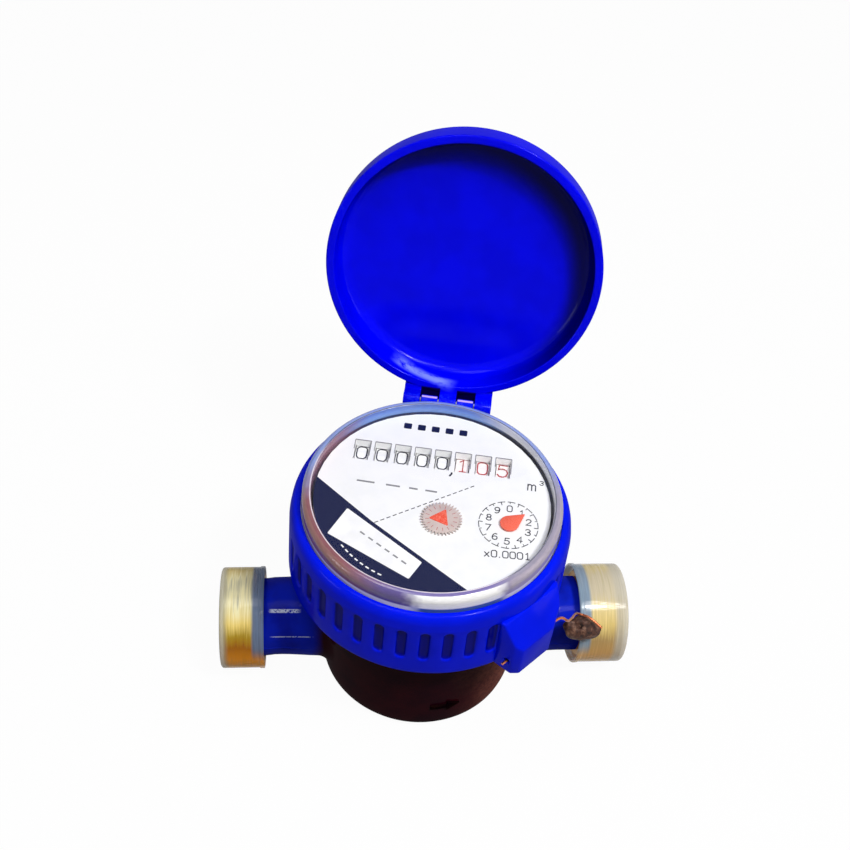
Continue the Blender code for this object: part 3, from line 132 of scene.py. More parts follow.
def bump(height, strength, distance=0.0001, under=None):
    sockets = {"Height": height, "Strength": strength, "Distance": distance}
    if under is not None:
        sockets["Normal"] = under
    return height.node("ShaderNodeBump", None, sockets)


def lengthOf(s, vector):
    return s.node("ShaderNodeVectorMath", {"operation": "LENGTH"}, {0: vector}, out=1)


def alongLine(s, start, stop):  # how far along a line a place is, and how far away from it
    way = (Vector(stop) - Vector(start)).normalized()
    off = s.node("ShaderNodeVectorMath", {"operation": "SUBTRACT"}, {0: spots(s), 1: start})
    along = s.node("ShaderNodeVectorMath", {"operation": "DOT_PRODUCT"}, {0: off, 1: way}, out=1)
    foot = s.node("ShaderNodeVectorMath", {"operation": "SCALE"}, {0: way, "Scale": along})
    side = s.node("ShaderNodeVectorMath", {"operation": "SUBTRACT"}, {0: off, 1: foot})
    return along, lengthOf(s, side)


def within(value, low, high, soft):  # 1 between two values
    return spread(value, low - soft, low + soft) * spread(value, high - soft, high + soft, 1.0, 0.0)


def placeOf(s):  # across, depth and height of a place, in millimetres
    across = s.node("ShaderNodeSeparateXYZ", None, {0: spots(s)})
    outputs = across.out.node.outputs
    return across, Socket(s.tree, outputs["Y"]), Socket(s.tree, outputs["Z"])


def edges(s, low=0.50, high=0.56):  # 1 along outside edges
    return spread(s.node("ShaderNodeNewGeometry", out="Pointiness"), low, high)


def finish(name, plain, build):
    material = bpy.data.materials.new(name)
    material.use_nodes = True
    tree = material.node_tree
    shader = tree.nodes["Principled BSDF"]
    for socket, value in list(plain.items()) + list(build(Socket(tree)).items()):
        feed(tree, shader.inputs[socket], value)
    return material


print("sockets ready")


# Finishes

def moulded(colour, worn, grain=1.0, rough=(0.22, 0.34), marks=None):
    def build(s):
        flow = noise(s, 0.09, 2.0)
        fine = noise(s, 1.6, 5.0, 0.6)
        scuffs = noise(s, 0.9, 6.0, 0.7, (1, 0.15, 1))
        body = blend(spread(flow, 0.3, 0.7), colour, [k * 0.86 for k in colour])
        wear = edges(s, 0.53, 0.60) * spread(fine, 0.45, 0.65)
        body = blend(wear * 0.5, body, worn)
        if marks:
            body = marks(s, body)
        return {"Base Color": body,
                "Roughness": spread(scuffs, 0.35, 0.75, *rough),
                "Normal": bump(fine, 0.10 * grain, 0.00004, bump(flow, 0.10, 0.0004))}
    return build


hingeBack, hingeZ, hingeArmX = 38.5, 62.9, 5.0
lidOpen = 106  # degrees
hingeLine = [registerTurn @ Vector((x, hingeBack, hingeZ)) for x in (0, 1)]
lidSwing = (registerTurn @ Matrix.Translation((0, hingeBack, hingeZ))
            @ Matrix.Rotation(math.radians(-lidOpen), 4, "X")
            @ Matrix.Translation((0, -hingeBack, -hingeZ)))  # from the shut lid to the open one


def ringMarks(s, body):  # painted shade in the grip recesses, and a painted highlight along the top of each hinge arm
    height = placeOf(s)[2]
    wall = 36.7 - (height - 42.9) * 0.0228  # the ring leans inwards as it rises
    # the grip recesses are painted dark blue: painted shade
    gripShade = spread(wall - lengthOf(s, spots(s, (1, 1, 0))), 0.2, 0.6) * within(height, 48.0, 60.2, 0.6)
    away = alongLine(s, *hingeLine)[1]
    # pale lilac along the top of each hinge arm: a painted highlight
    armTopHighlight = spread(away, 1.60, 1.70, 1.0, 0.0) * spread(height, 64.38, 64.43)
    return blend(armTopHighlight, blend(gripShade * 0.85, body, (0.0, 0.0, 0.16)), (0.60, 0.42, 0.85))


def lidMarks(s, body):  # painted shade in the slots round the hinge arms, a painted reflection inside beside the hinge, and a painted shadow inside away from the hinge
    along, away = alongLine(s, *hingeLine)
    # the slots round the hinge arms are painted near-black: painted shade
    slot = within(abs(abs(along) - hingeArmX), -1.0, 2.65, 0.05) * spread(away, 3.6, 4.0, 1.0, 0.0)
    # a pale patch on the inner wall beside the hinge: a painted reflection
    reflectionLine = [lidSwing @ Vector(spot) for spot in ((-16.7, 30.1, 70.2), (1.6, 34.4, 66.6))]
    reach, aside = alongLine(s, *reflectionLine)
    cloud = noise(s, 0.35, 3.0, 0.55, (1, 1, 2))
    paintedReflection = spread(aside, 0.8, 3.2, 1.0, 0.0) * within(reach, 2.0, 17.0, 3.0) * spread(cloud, 0.30, 0.56)
    # a dark crescent on the lid's inner wall and floor away from the hinge: a painted shadow
    lidTop, lidFoot = 74.2, 60.0
    depth, fromShift = alongLine(s, *[lidSwing @ Vector((-4.0, 4.4, z)) for z in (lidTop, lidFoot)])
    fromCentre = alongLine(s, *[lidSwing @ Vector((0, 0, z)) for z in (lidTop, lidFoot)])[1]
    inside = spread(fromCentre, 34.5, 34.9, 1.0, 0.0) * within(depth, 0.0, 8.9, 0.2)
    paintedShadow = spread(fromShift, 30.5, 36.5) * inside
    body = blend(paintedShadow * 0.86, body, (0.0, 0.0, 0.035))
    return blend(slot, blend(paintedReflection * 0.72, body, (0.34, 0.44, 0.98)), (0.002, 0.0, 0.05))


neckGlints = [  # start, stop, half width and strength of each broken painted highlight line
    ((-41.8, -4.96, 25.37), (-34.0, -5.32, 25.69), 0.40, 0.9),
    ((-41.5, -9.87, 20.15), (-30.5, -10.31, 20.47), 0.16, 0.5)]


def castPaint(s):
    along = s.node("ShaderNodeSeparateXYZ", None, {0: spots(s)}, out=0)
    away = abs(along)
    grain = noise(s, 1.1, 6.0, 0.62)
    cloud = noise(s, 0.12, 3.0)
    onNeck = spread(away + (cloud - 0.5) * 3.0, 27.0, 30.5)
    bare = spread(away, 44.3, 44.5)
    cup = blend(spread(cloud, 0.3, 0.7), (0.034, 0.0030, 0.0065), (0.018, 0.0018, 0.0060))
    warmLitSide = spread(along + (cloud - 0.5) * 14.0, 6.0, 30.0)  # the outlet side is painted lighter bronze-brown: a painted warm light on that side
    cup = blend(warmLitSide, cup, blend(spread(grain, 0.4, 0.65), (0.27, 0.080, 0.052), (0.15, 0.042, 0.034)))
    neck = blend(spread(cloud, 0.35, 0.7), (0.004, 0.018, 0.600), (0.003, 0.010, 0.400))
    chips = edges(s, 0.56, 0.64) * spread(grain, 0.52, 0.60)
    paint = blend(chips, blend(onNeck, cup, neck), (0.20, 0.11, 0.04))
    crumbs = noise(s, 1.7, 3.0, 0.7)
    # broken pale lines along the inlet neck: painted highlights
    for start, stop, wide, pale in neckGlints:
        reach, aside = alongLine(s, start, stop)
        glint = spread(aside, wide, wide * 1.5, 1.0, 0.0) * within(reach, 0.0, math.dist(start, stop), 0.8)
        glint = glint * spread(crumbs, 0.40, 0.48)
        paint = blend(glint * pale, paint, (0.80, 0.86, 1.0))
    streaks = noise(s, 0.8, 5.0, 0.7, (3.0, 0.35, 0.35))
    brass = blend(spread(streaks, 0.35, 0.68), (0.92, 0.54, 0.07), (0.72, 0.36, 0.02))
    fromPipe = lengthOf(s, s.node("ShaderNodeVectorMath", {"operation": "SUBTRACT"},
                                  {0: spots(s, (0, 1, 1)), 1: (0, 0, 15.5)}))
    brass = blend(spread(fromPipe, 12.3, 13.0, 0.85, 0.0), brass, (0.30, 0.13, 0.015))
    return {"Base Color": blend(bare, paint, brass),
            "Metallic": bare * 0.55,
            "Coat Weight": onNeck * 0.01 + 0.03,
            "Roughness": spread(grain, 0.3, 0.7, 0.12, 0.26) + bare * 0.16,
            "Normal": bump(grain, 0.30, 0.00010, bump(cloud, 0.25, 0.0005))}


def printed(colour, pale, amount=0.25):
    def build(s):
        speckle = noise(s, 1.4, 4.0, 0.6)
        return {"Base Color": blend(spread(speckle, 0.55, 0.75) * amount, colour, pale),
                "Roughness": spread(speckle, 0.3, 0.7, 0.38, 0.55),
                "Normal": bump(speckle, 0.04, 0.00002)}
    return build


def satin(colour, shade, rough=(0.38, 0.52)):
    def build(s):
        cloud = noise(s, 0.25, 3.0)
        fine = noise(s, 3.0, 4.0, 0.6)
        return {"Base Color": blend(spread(cloud, 0.35, 0.75), colour, shade),
                "Roughness": spread(fine, 0.3, 0.7, *rough),
                "Normal": bump(fine, 0.08, 0.00003)}
    return build


def metal(colour, dull, stretch=(1, 1, 1), rough=(0.24, 0.42), grain=0.15):
    def build(s):
        lines = noise(s, 1.5, 6.0, 0.65, stretch)
        stain = noise(s, 0.3, 4.0)
        return {"Base Color": blend(spread(stain, 0.4, 0.75), colour, dull),
                "Roughness": spread(lines, 0.3, 0.7, *rough),
                "Normal": bump(lines, grain, 0.00005)}
    return build


def oldLead(s):
    lumps = noise(s, 0.7, 6.0, 0.65)
    pits = noise(s, 2.4, 4.0, 0.6)
    tint = ramp(lumps, [(0.36, (0.010, 0.004, 0.003)), (0.52, (0.065, 0.024, 0.014)),
                        (0.68, (0.20, 0.10, 0.06))])
    return {"Base Color": blend(edges(s, 0.52, 0.60) * 0.4, tint, (0.34, 0.19, 0.13)),
            "Roughness": spread(pits, 0.3, 0.7, 0.42, 0.72),
            "Normal": bump(pits, 0.35, 0.00016, bump(lumps, 0.5, 0.0005))}


def capSkin(heights, beside, end, thin, thick):  # tinted by height with painted shade and a painted highlight band, bluish beside the neck, dull at its end
    def build(s):
        across, _, height = placeOf(s)
        haze = noise(s, 0.06, 2.0)
        streaks = noise(s, 1.0, 4.0, 0.6, (2.2, 0.08, 0.08))
        level = (height + (haze - 0.5) * 3.0 + (streaks - 0.5) * 5.0 - 1.35) / 28.3
        # the tint by height copies the thread's shading: painted shade and a painted highlight band
        tint = ramp(level, heights)
        tint = blend(spread(abs(across), 46.2, 47.2, 1.0, 0.0) * spread(height, 14.0, 20.0), tint, beside)
        tint = blend(spread(abs(across), 52.8, 54.6) * 0.8, tint, end)
        return {"Base Color": tint,
                "Alpha": spread(haze * 0.4 + streaks * 0.6, 0.38, 0.62, thin, thick),
                "Roughness": spread(streaks, 0.3, 0.7, 0.14, 0.24),
                "Normal": bump(streaks, 0.10, 0.00006)}
    return build


def lensSkin(s):
    haze = noise(s, 0.2, 3.0)
    return {"Roughness": spread(haze, 0.3, 0.7, 0.015, 0.05),
            "Normal": bump(haze, 0.03, 0.0002)}


def clearFinish(name, gloss):  # a clear sheet with a little gloss, which lamps shine through
    material = finish(name, {"Base Color": (1.0, 1.0, 1.0), "Metallic": 1.0}, lensSkin)
    tree = material.node_tree
    s = Socket(tree)
    shine = Socket(tree, tree.nodes["Principled BSDF"].outputs[0])
    letThrough = s.node("ShaderNodeBsdfTransparent", None, {"Color": (0.99, 0.995, 1.0)})
    both = s.node("ShaderNodeMixShader", None, {0: gloss, 1: letThrough, 2: shine})
    tree.links.new(both.out, tree.nodes["Material Output"].inputs["Surface"])
    return material


def rimSkin(s):  # painted reflections on the clear rim: brown-pink at the left, white in front, lilac at the right and blue at the back
    cloud = noise(s, 0.12, 3.0, 0.6)
    fine = noise(s, 1.2, 5.0, 0.6, (0.5, 0.5, 3))
    fromAxis = lengthOf(s, spots(s, (1, 1, 0)))
    across, depth, height = placeOf(s)
    side = across + (cloud - 0.5) * 9.0
    back = spread(depth + (cloud - 0.5) * 10.0, -2.0, 10.0)
    # a white band in front: painted glare
    middle = within(side, -7.0, 14.0, 2.0) * (1 - back)
    outer = spread(fromAxis, 32.0, 32.3) * spread(height, 65.2, 65.5)
    inner = spread(fromAxis, 30.95, 31.0, 1.0, 0.0)
    foot = spread(height, 65.3, 65.8, 1.0, 0.0) * spread(fromAxis, 32.6, 32.9)
    # a thin line at the inner edge: a painted highlight in front and at the left, a painted dark line at the back and
    # right
    line = within(fromAxis, 31.02, 31.30, 0.05)
    top = blend(spread(side, -24.0, -8.0), (0.30, 0.10, 0.12), (0.20, 0.16, 0.42))
    top = blend(spread(side, 10.0, 18.0), top, (0.36, 0.33, 0.44))
    top = blend(back, top, (0.30, 0.40, 0.80))
    wall = blend(spread(side, -24.0, -13.0), (0.34, 0.15, 0.14), (0.13, 0.09, 0.32))
    wall = blend(spread(side, 13.0, 17.0), wall, (0.44, 0.39, 0.50))
    wall = blend(middle, blend(back, wall, (0.16, 0.26, 0.72)), (0.97, 0.97, 0.98))
    inside = ramp((height - 66.2) / 3.2, [(0.04, (0.08, 0.10, 0.22)), (0.14, (0.26, 0.46, 0.95)),
                                          (0.60, (0.18, 0.34, 0.90)), (0.98, (0.12, 0.20, 0.62))])
    inside = blend(spread(across, -26.0, -14.0, 1.0, 0.0), inside, (0.34, 0.15, 0.22))
    inside = blend(spread(across, 12.0, 24.0), inside, blend(spread(height, 66.9, 67.3), (0.12, 0.12, 0.14),
                                                             (0.86, 0.86, 0.88)))
    reflectionTint = blend(inner, blend(outer, top, wall), inside)
    reflectionTint = blend(foot, reflectionTint, blend(middle, (0.94, 0.92, 0.95), (0.05, 0.12, 0.42)))
    lineShade = s.maths("MAXIMUM", spread(depth, 10.0, 18.0), spread(side, 12.0, 18.0))
    reflectionTint = blend(line, reflectionTint, blend(lineShade, (0.86, 0.78, 0.84), (0.16, 0.17, 0.22)))
    return {"Base Color": reflectionTint,
            "Alpha": spread(fine, 0.25, 0.75, 0.72, 0.86) + middle * 0.10,
            "Roughness": spread(fine, 0.3, 0.7, 0.08, 0.18),
            "Normal": bump(fine, 0.08, 0.00006)}


finishes = {
    "bluePlastic": finish("bluePlastic", {"Specular IOR Level": 0.0, "Coat Weight": 0.08, "Coat Roughness": 0.10},
                          moulded((0.0, 0.008, 0.80), (0.03, 0.09, 0.88), marks=ringMarks)),
    "lidPlastic": finish("lidPlastic", {"Specular IOR Level": 0.0, "Coat Weight": 0.10, "Coat Roughness": 0.12},
                         moulded((0.0, 0.0005, 0.83), (0.02, 0.05, 0.88), 0.6, (0.14, 0.22), lidMarks)),
    "castPaint": finish("castPaint", {"Specular IOR Level": 0.0, "Coat Roughness": 0.07}, castPaint),
    "arrowPaint": finish("arrowPaint", {"Specular IOR Level": 0.0},
                         satin((0.004, 0.0008, 0.0020), (0.010, 0.0030, 0.0025))),
    "dialWhite": finish("dialWhite", {"Specular IOR Level": 0.3},
                        satin((0.89, 0.89, 0.89), (0.855, 0.86, 0.865))),
    "labelPaper": finish("labelPaper", {"Specular IOR Level": 0.3},
                         satin((0.93, 0.93, 0.93), (0.86, 0.86, 0.87))),
    "navyPrint": finish("navyPrint", {"Specular IOR Level": 0.0},
                        printed((0.0125, 0.0165, 0.062), (0.05, 0.06, 0.12), 0.10)),
    "blackPrint": finish("blackPrint", {"IOR": 1.15}, printed((0.03, 0.03, 0.05), (0.30, 0.30, 0.32))),
    "greyPrint": finish("greyPrint", {"IOR": 1.15}, printed((0.24, 0.24, 0.26), (0.6, 0.6, 0.6))),
    "redPrint": finish("redPrint", {"IOR": 1.15}, printed((0.42, 0.06, 0.07), (0.8, 0.5, 0.5))),
    "wheelBlack": finish("wheelBlack", {"Specular IOR Level": 0.3},
                         satin((0.88, 0.88, 0.88), (0.80, 0.80, 0.80))),
    "wheelRed": finish("wheelRed", {"Specular IOR Level": 0.3}, satin((0.90, 0.85, 0.84), (0.84, 0.76, 0.75))),
    "whitePlastic": finish("whitePlastic", {}, satin((0.80, 0.80, 0.78), (0.72, 0.72, 0.69))),
    "starPlastic": finish("starPlastic", {}, satin((0.58, 0.48, 0.45), (0.50, 0.40, 0.38))),
    "starRed": finish("starRed", {"Specular IOR Level": 0.1},
                      moulded((0.88, 0.10, 0.055), (0.92, 0.28, 0.20), 0.8)),
    "redPlastic": finish("redPlastic", {"Specular IOR Level": 0.3},
                         moulded((0.93, 0.145, 0.085), (0.95, 0.35, 0.25), 0.8)),
    "steel": finish("steel", {"Metallic": 1.0}, metal((0.60, 0.60, 0.62), (0.38, 0.37, 0.36), (4, 0.4, 0.4))),
    "magnet": finish("magnet", {"Metallic": 0.4},
                     metal((0.09, 0.09, 0.10), (0.05, 0.05, 0.05), rough=(0.5, 0.7))),
    "rubber": finish("rubber", {}, satin((0.025, 0.025, 0.025), (0.045, 0.045, 0.045), (0.6, 0.8))),
    "lead": finish("lead", {"Metallic": 0.15, "Specular IOR Level": 0.3}, oldLead),
    "copper": finish("copper", {"Metallic": 1.0},
                     metal((0.40, 0.125, 0.055), (0.16, 0.045, 0.02), (1, 1, 1), (0.2, 0.4))),
    # the caps' colour bands by height are painted shade and a painted highlight band
    "capClear": finish("capClear", {"Specular IOR Level": 0.0, "Coat Weight": 0.3, "Coat Roughness": 0.12},
                       capSkin([(0.20, (1.0, 0.50, 0.006)), (0.50, (0.98, 0.36, 0.003)), (0.66, (0.48, 0.16, 0.003)),
                                (0.78, (0.50, 0.32, 0.02)), (0.87, (0.98, 0.76, 0.22)), (0.965, (0.99, 0.93, 0.56)),
                                (1.0, (0.50, 0.48, 0.34))],
                               (0.16, 0.22, 0.34), (0.46, 0.42, 0.28), 0.58, 0.78)),
    "capMilky": finish("capMilky", {"Specular IOR Level": 0.0, "Coat Weight": 0.7, "Coat Roughness": 0.10},
                       capSkin([(0.20, (1.0, 0.62, 0.14)), (0.48, (0.90, 0.50, 0.12)), (0.66, (0.60, 0.40, 0.14)),
                                (0.80, (0.94, 0.74, 0.26)), (0.92, (0.95, 0.80, 0.38)), (0.99, (0.72, 0.64, 0.44))],
                               (0.30, 0.42, 0.54), (0.66, 0.62, 0.50), 0.55, 0.75)),
    "clearTop": clearFinish("clearTop", 0.012),
    "clearRim": finish("clearRim", {"Specular IOR Level": 0.5}, rimSkin),
}
print("finishes ready")


# Making meshes

def addPiece(name, bm, look, body, nodes=(), sharp=32, place=None):
    bmesh.ops.remove_doubles(bm, verts=bm.verts, dist=1e-4)
    bmesh.ops.recalc_face_normals(bm, faces=bm.faces)
    mesh = bpy.data.meshes.new(name)
    bm.to_mesh(mesh)
    bm.free()
    if place is not None:
        mesh.transform(place)
    mesh.transform(Matrix.Scale(0.001, 4))
    if look:
        mesh.materials.append(finishes[look])
    mesh.shade_smooth()
    mesh.set_sharp_from_angle(angle=math.radians(sharp))
    piece = bpy.data.objects.new(name, mesh)
    bpy.context.scene.collection.objects.link(piece)
    if body:
        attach(piece, body)
    if nodes:
        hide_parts(*nodes)
    return piece


def combine(base, others, operation="UNION", sharp=32):
    for other in others:
        change = base.modifiers.new(other.name, "BOOLEAN")
        change.operation = operation
        change.solver = "EXACT"
        change.object = other
    bpy.context.view_layer.update()
    seen = base.evaluated_get(bpy.context.evaluated_depsgraph_get())
    mesh = bpy.data.meshes.new_from_object(seen)
    base.modifiers.clear()
    old = base.data
    base.data = mesh
    bpy.data.meshes.remove(old)
    mesh.name = base.name
    mesh.shade_smooth()
    mesh.set_sharp_from_angle(angle=math.radians(sharp))
    for other in others:
        bpy.data.objects.remove(other, do_unlink=True)
    return base


def skin(bm, rows, ring=False):  # rows of places round a form; a row of one place closes it
    made = [[bm.verts.new(spot) for spot in row] for row in rows]
    pairs = list(zip(made, made[1:]))
    if ring:
        pairs.append((made[-1], made[0]))
    for low, high in pairs:
        count = max(len(low), len(high))
        for k in range(count):
            n = (k + 1) % count
            corners = []
            for vert in (low[k % len(low)], low[n % len(low)], high[n % len(high)], high[k % len(high)]):
                if vert not in corners:
                    corners.append(vert)
            if len(corners) > 2:
                bm.faces.new(corners)
    return made


def lathe(bm, profile, segments, ring=False):
    rows = []
    for radius, height in profile:
        if radius < 1e-6:
            rows.append([(0, 0, height)])
        else:
            rows.append([(radius * math.cos(math.tau * k / segments), radius * math.sin(math.tau * k / segments),
                          height) for k in range(segments)])
    return skin(bm, rows, ring)


def rounded(corners, steps=6, closed=True):  # a corner may carry its fillet's radius
    outline = []
    count = len(corners)
    for i, corner in enumerate(corners):
        here = Vector(corner[:2])
        radius = corner[2] if len(corner) > 2 else 0.0
        if radius <= 0 or (not closed and i in (0, count - 1)):
            outline.append(tuple(here))
            continue
        before = (Vector(corners[i - 1][:2]) - here).normalized()
        after = (Vector(corners[(i + 1) % count][:2]) - here).normalized()
        half = before.angle(after) / 2
        reach = radius / math.tan(half)
        centre = here + (before + after).normalized() * (radius / math.sin(half))
        start = here + before * reach - centre
        turn = start.angle_signed(here + after * reach - centre)
        for step in range(steps + 1):
            spot = Vector(start)
            spot.rotate(Matrix.Rotation(-turn * step / steps, 2))
            outline.append(tuple(centre + spot))
    return outline


def slab(bm, outline, low, high, place=None):
    base = [bm.verts.new((x, y, low)) for x, y in outline]
    top = [bm.verts.new((x, y, high)) for x, y in outline]
    bm.faces.new(base[::-1])
    bm.faces.new(top)
    for k in range(len(base)):
        n = (k + 1) % len(base)
        bm.faces.new((base[k], base[n], top[n], top[k]))
    if place is not None:
        bmesh.ops.transform(bm, matrix=place, verts=base + top)


def smoothed(value):
    value = min(max(value, 0.0), 1.0)
    return value * value * (3 - 2 * value)


print("mesh tools ready")


# Camera at the photograph's angle, from a fit to the meter's outlines

cameraPlace = {"azimuth": -0.138, "elevation": 0.805, "roll": 0.101, "distance": 331.75,
               "target": (0.588, 32.32, 59.84), "focus": 1199 / 850}


def makeCamera():
    a, e = cameraPlace["azimuth"], cameraPlace["elevation"]
    back = Vector((math.sin(a) * math.cos(e), -math.cos(a) * math.cos(e), math.sin(e)))
    level = Vector((math.cos(a), math.sin(a), 0))
    rise = back.cross(level)
    turn = cameraPlace["roll"]
    right = level * math.cos(turn) + rise * math.sin(turn)
    up = rise * math.cos(turn) - level * math.sin(turn)
    camera = bpy.data.objects.new("camera", bpy.data.cameras.new("camera"))
    camera.data.sensor_width = 36
    camera.data.lens = cameraPlace["focus"] * 36
    camera.data.clip_start = 0.01
    place = (Vector(cameraPlace["target"]) + back * cameraPlace["distance"]) / 1000
    camera.matrix_world = Matrix.Translation(place) @ Matrix((right, up, back)).transposed().to_4x4()
    bpy.context.scene.collection.objects.link(camera)
    bpy.context.scene.camera = camera


# Light and floor

lamps = {
    "key": {"place": (290, -300, 791), "size": (260, 260), "power": 3.5, "colour": (1.0, 0.985, 0.96)},
    "core": {"place": (287, -312, 780), "size": (70, 50), "power": 2.1, "colour": (1.0, 0.99, 0.97)},
    "top": {"place": (-190, -40, 880), "size": (300, 300), "power": 1.7, "colour": (0.99, 0.99, 1.0)},
    "strip": {"place": (40, -359, 790), "size": (330, 6), "power": 1.1, "colour": (1.0, 1.0, 1.0)},
    "side": {"place": (760, -180, 240), "size": (300, 300), "power": 0.8, "colour": (1.0, 0.90, 0.78)},
    "left": {"place": (-640, -200, 190), "size": (200, 200), "power": 0.6, "colour": (0.90, 0.94, 1.0)},
}


def seenRays(s):  # 1 where the camera, a gloss or clear plastic looks
    seen = s.node("ShaderNodeLightPath", out="Is Camera Ray")
    path = seen.out.node
    return s.maths("MAXIMUM", s.maths("MAXIMUM", seen, Socket(s.tree, path.outputs["Is Glossy Ray"])),
                   Socket(s.tree, path.outputs["Is Transmission Ray"]))


def makeLight():
    for name, lamp in lamps.items():
        light = bpy.data.lights.new(name, "AREA")
        light.shape = "RECTANGLE"
        light.size, light.size_y = (side / 1000 for side in lamp["size"])
        light.energy = lamp["power"]
        light.color = lamp["colour"]
        holder = bpy.data.objects.new(name, light)
        place = Vector(lamp["place"])
        aim = Vector((0, 10, 55)) - place
        holder.matrix_world = Matrix.Translation(place / 1000) @ aim.to_track_quat("-Z", "Y").to_matrix().to_4x4()
        bpy.context.scene.collection.objects.link(holder)
    world = bpy.data.worlds.new("studio")
    bpy.context.scene.world = world
    world.use_nodes = True
    tree = world.node_tree
    tree.nodes.clear()
    s = Socket(tree)
    shown = seenRays(s)
    room = s.node("ShaderNodeBackground", None, {"Color": (0.95, 0.96, 1.0), "Strength": 0.03})
    white = s.node("ShaderNodeBackground", None, {"Color": (1, 1, 1), "Strength": 1.0})
    both = s.node("ShaderNodeMixShader", None, {0: shown, 1: room, 2: white})
    tree.links.new(both.out, tree.nodes.new("ShaderNodeOutputWorld").inputs["Surface"])


def makeFloor():
    bm = bmesh.new()
    bmesh.ops.create_grid(bm, x_segments=8, y_segments=8, size=2500)
    floor = addPiece("floor", bm, None, None)
    floor.location.z = -0.00002
    material = bpy.data.materials.new("floorPale")
    material.use_nodes = True
    tree = material.node_tree
    s = Socket(tree)
    grain = noise(s, 0.05, 3.0)
    shader = tree.nodes["Principled BSDF"]
    feed(tree, shader.inputs["Base Color"], blend(grain, (0.21, 0.21, 0.215), (0.18, 0.18, 0.185)))
    feed(tree, shader.inputs["Roughness"], 0.8)
    feed(tree, shader.inputs["Specular IOR Level"], 0.1)
    glow = s.node("ShaderNodeEmission", None, {"Color": (1, 1, 1), "Strength": 1.12})
    mixed = s.node("ShaderNodeMixShader", None, {0: seenRays(s) * 0.86, 1: Socket(tree, shader.outputs[0]), 2: glow})
    tree.links.new(mixed.out, tree.nodes["Material Output"].inputs["Surface"])
    floor.data.materials.append(material)


makeCamera()
makeLight()
makeFloor()
bpy.context.scene.view_settings.view_transform = "Standard"
print("camera, lamps and floor set")


# Body casting: cup, two necks, end threads

casting = {
    "pipeZ": 15.5, "cupRadius": 27.2, "cupTopRadius": 28.6, "cupHeight": 35.8, "baseFillet": 4.5,
    "shoulderRadius": 32.9, "flangeRadius": 34.2, "flangeZ": 45.4, "rimZ": 49.5,
    "chamberRadius": 23.5, "chamberFloor": 5.0, "ledgeZ": 41.0, "pocketRadius": 30.5,
    "ends": {-1: 54.1, 1: 55.9}, "rise": {-1: 0.6, 1: 0.0}, "neckRadius": 10.5, "rootRadius": 11.3,
    "rootFillet": 3.2, "threadStart": 44.6, "threadRadius": 13.2, "threadDepth": 1.05, "threadPitch": 1.814,
    "boreRadius": 7.5, "boreDepth": 24.0, "seamHeight": 0.16,
}


arrow = {"angle": -78.5, "z": 11.9, "length": 8.0, "head": 2.1, "lift": 0.55}


def cupRadiusAt(z):
    c = casting
    return c["cupRadius"] + (c["cupTopRadius"] - c["cupRadius"]) * min(max(z / c["cupHeight"], 0), 1)


def neckRows(sign):
    c = casting
    end = c["ends"][sign]
    rise = c["rise"][sign]
    angles = sorted({round(math.tau * k / 96, 6) for k in range(96)}
                    | {round((side + d / c["neckRadius"]) % math.tau, 6)
                       for side in (0.0, math.pi) for d in (-0.42, -0.22, -0.1, 0.1, 0.22, 0.42)})

    def spot(x, radius, angle, lift=0.0):  # angle 0 faces the front, a quarter turn is up
        return Vector((sign * x, -radius * math.cos(angle), c["pipeZ"] + lift + radius * math.sin(angle)))

    def seam(angle):
        off = min(abs((angle - side + math.pi) % math.tau - math.pi) for side in (0.0, math.pi))
        return c["seamHeight"] * max(0.0, 1 - off * c["neckRadius"] / 0.34)

    def ramped(x):
        share = smoothed((x - c["cupRadius"]) / 12.0)
        return c["rootRadius"] + (c["neckRadius"] + rise * 0.4 - c["rootRadius"]) * share

    rows = [[Vector((sign * 22.0, 0, c["pipeZ"]))], [spot(22.0, c["rootRadius"] * 0.9, a) for a in angles]]
    fillet = c["rootFillet"]
    for step in range(9):
        bend = math.radians(90) * (1 - step / 8)
        row = []
        for a in angles:
            radius = ramped(c["cupRadius"] + 2) + fillet * (1 - math.sin(math.pi / 2 - bend)) * 0.9
            start = spot(0, radius, a, rise)
            surface = math.sqrt(max(cupRadiusAt(start.z) ** 2 - start.y ** 2, 0)) - 0.12
            x = surface + fillet * (1 - math.cos(math.pi / 2 - bend))
            row.append(spot(x, radius, a, rise))
        rows.append(row)
    first = c["cupRadius"] + fillet + 1.6
    for step in range(1, 9):
        share = step / 8
        row = []
        for k, a in enumerate(angles):
            begin = abs(rows[10][k].x)
            x = begin + (c["threadStart"] - begin) * share
            row.append(spot(x, ramped(x) + seam(a) * smoothed((x - first) / 2 + 0.5), a,
                            rise * (1 - smoothed((x - 40) / 4))))
        rows.append(row)
    root = c["threadRadius"] - c["threadDepth"]
    rows.append([spot(c["threadStart"] + 0.02, root - 0.2, a) for a in angles])
    start, stop = c["threadStart"] + 0.25, end - 0.35
    count = int((stop - start) / c["threadPitch"] * 8)
    for step in range(count + 1):
        x = start + (stop - start) * step / count
        row = []
        for a in angles:
            turn = ((x - start) / c["threadPitch"] + sign * a / math.tau) % 1.0
            wave = 1 - abs(turn * 2 - 1)
            wave = smoothed((wave - 0.08) / 0.84)
            fade = smoothed((x - start) / 0.9) * smoothed((stop - x) / 1.3)
            row.append(spot(x, root - 0.1 + (c["threadDepth"] + 0.1) * wave * fade, a))
        rows.append(row)
    rows.append([spot(end - 0.12, root - 0.35, a) for a in angles])
    rows.append([spot(end, root - 0.5, a) for a in angles])
    rows.append([spot(end, c["boreRadius"] + 0.4, a) for a in angles])
    rows.append([spot(end - 0.4, c["boreRadius"], a) for a in angles])
    rows.append([spot(end - c["boreDepth"] * 0.5, c["boreRadius"], a) for a in angles])
    rows.append([spot(end - c["boreDepth"], c["boreRadius"], a) for a in angles])
    rows.append([Vector((sign * (end - c["boreDepth"]), 0, c["pipeZ"]))])
    return rows


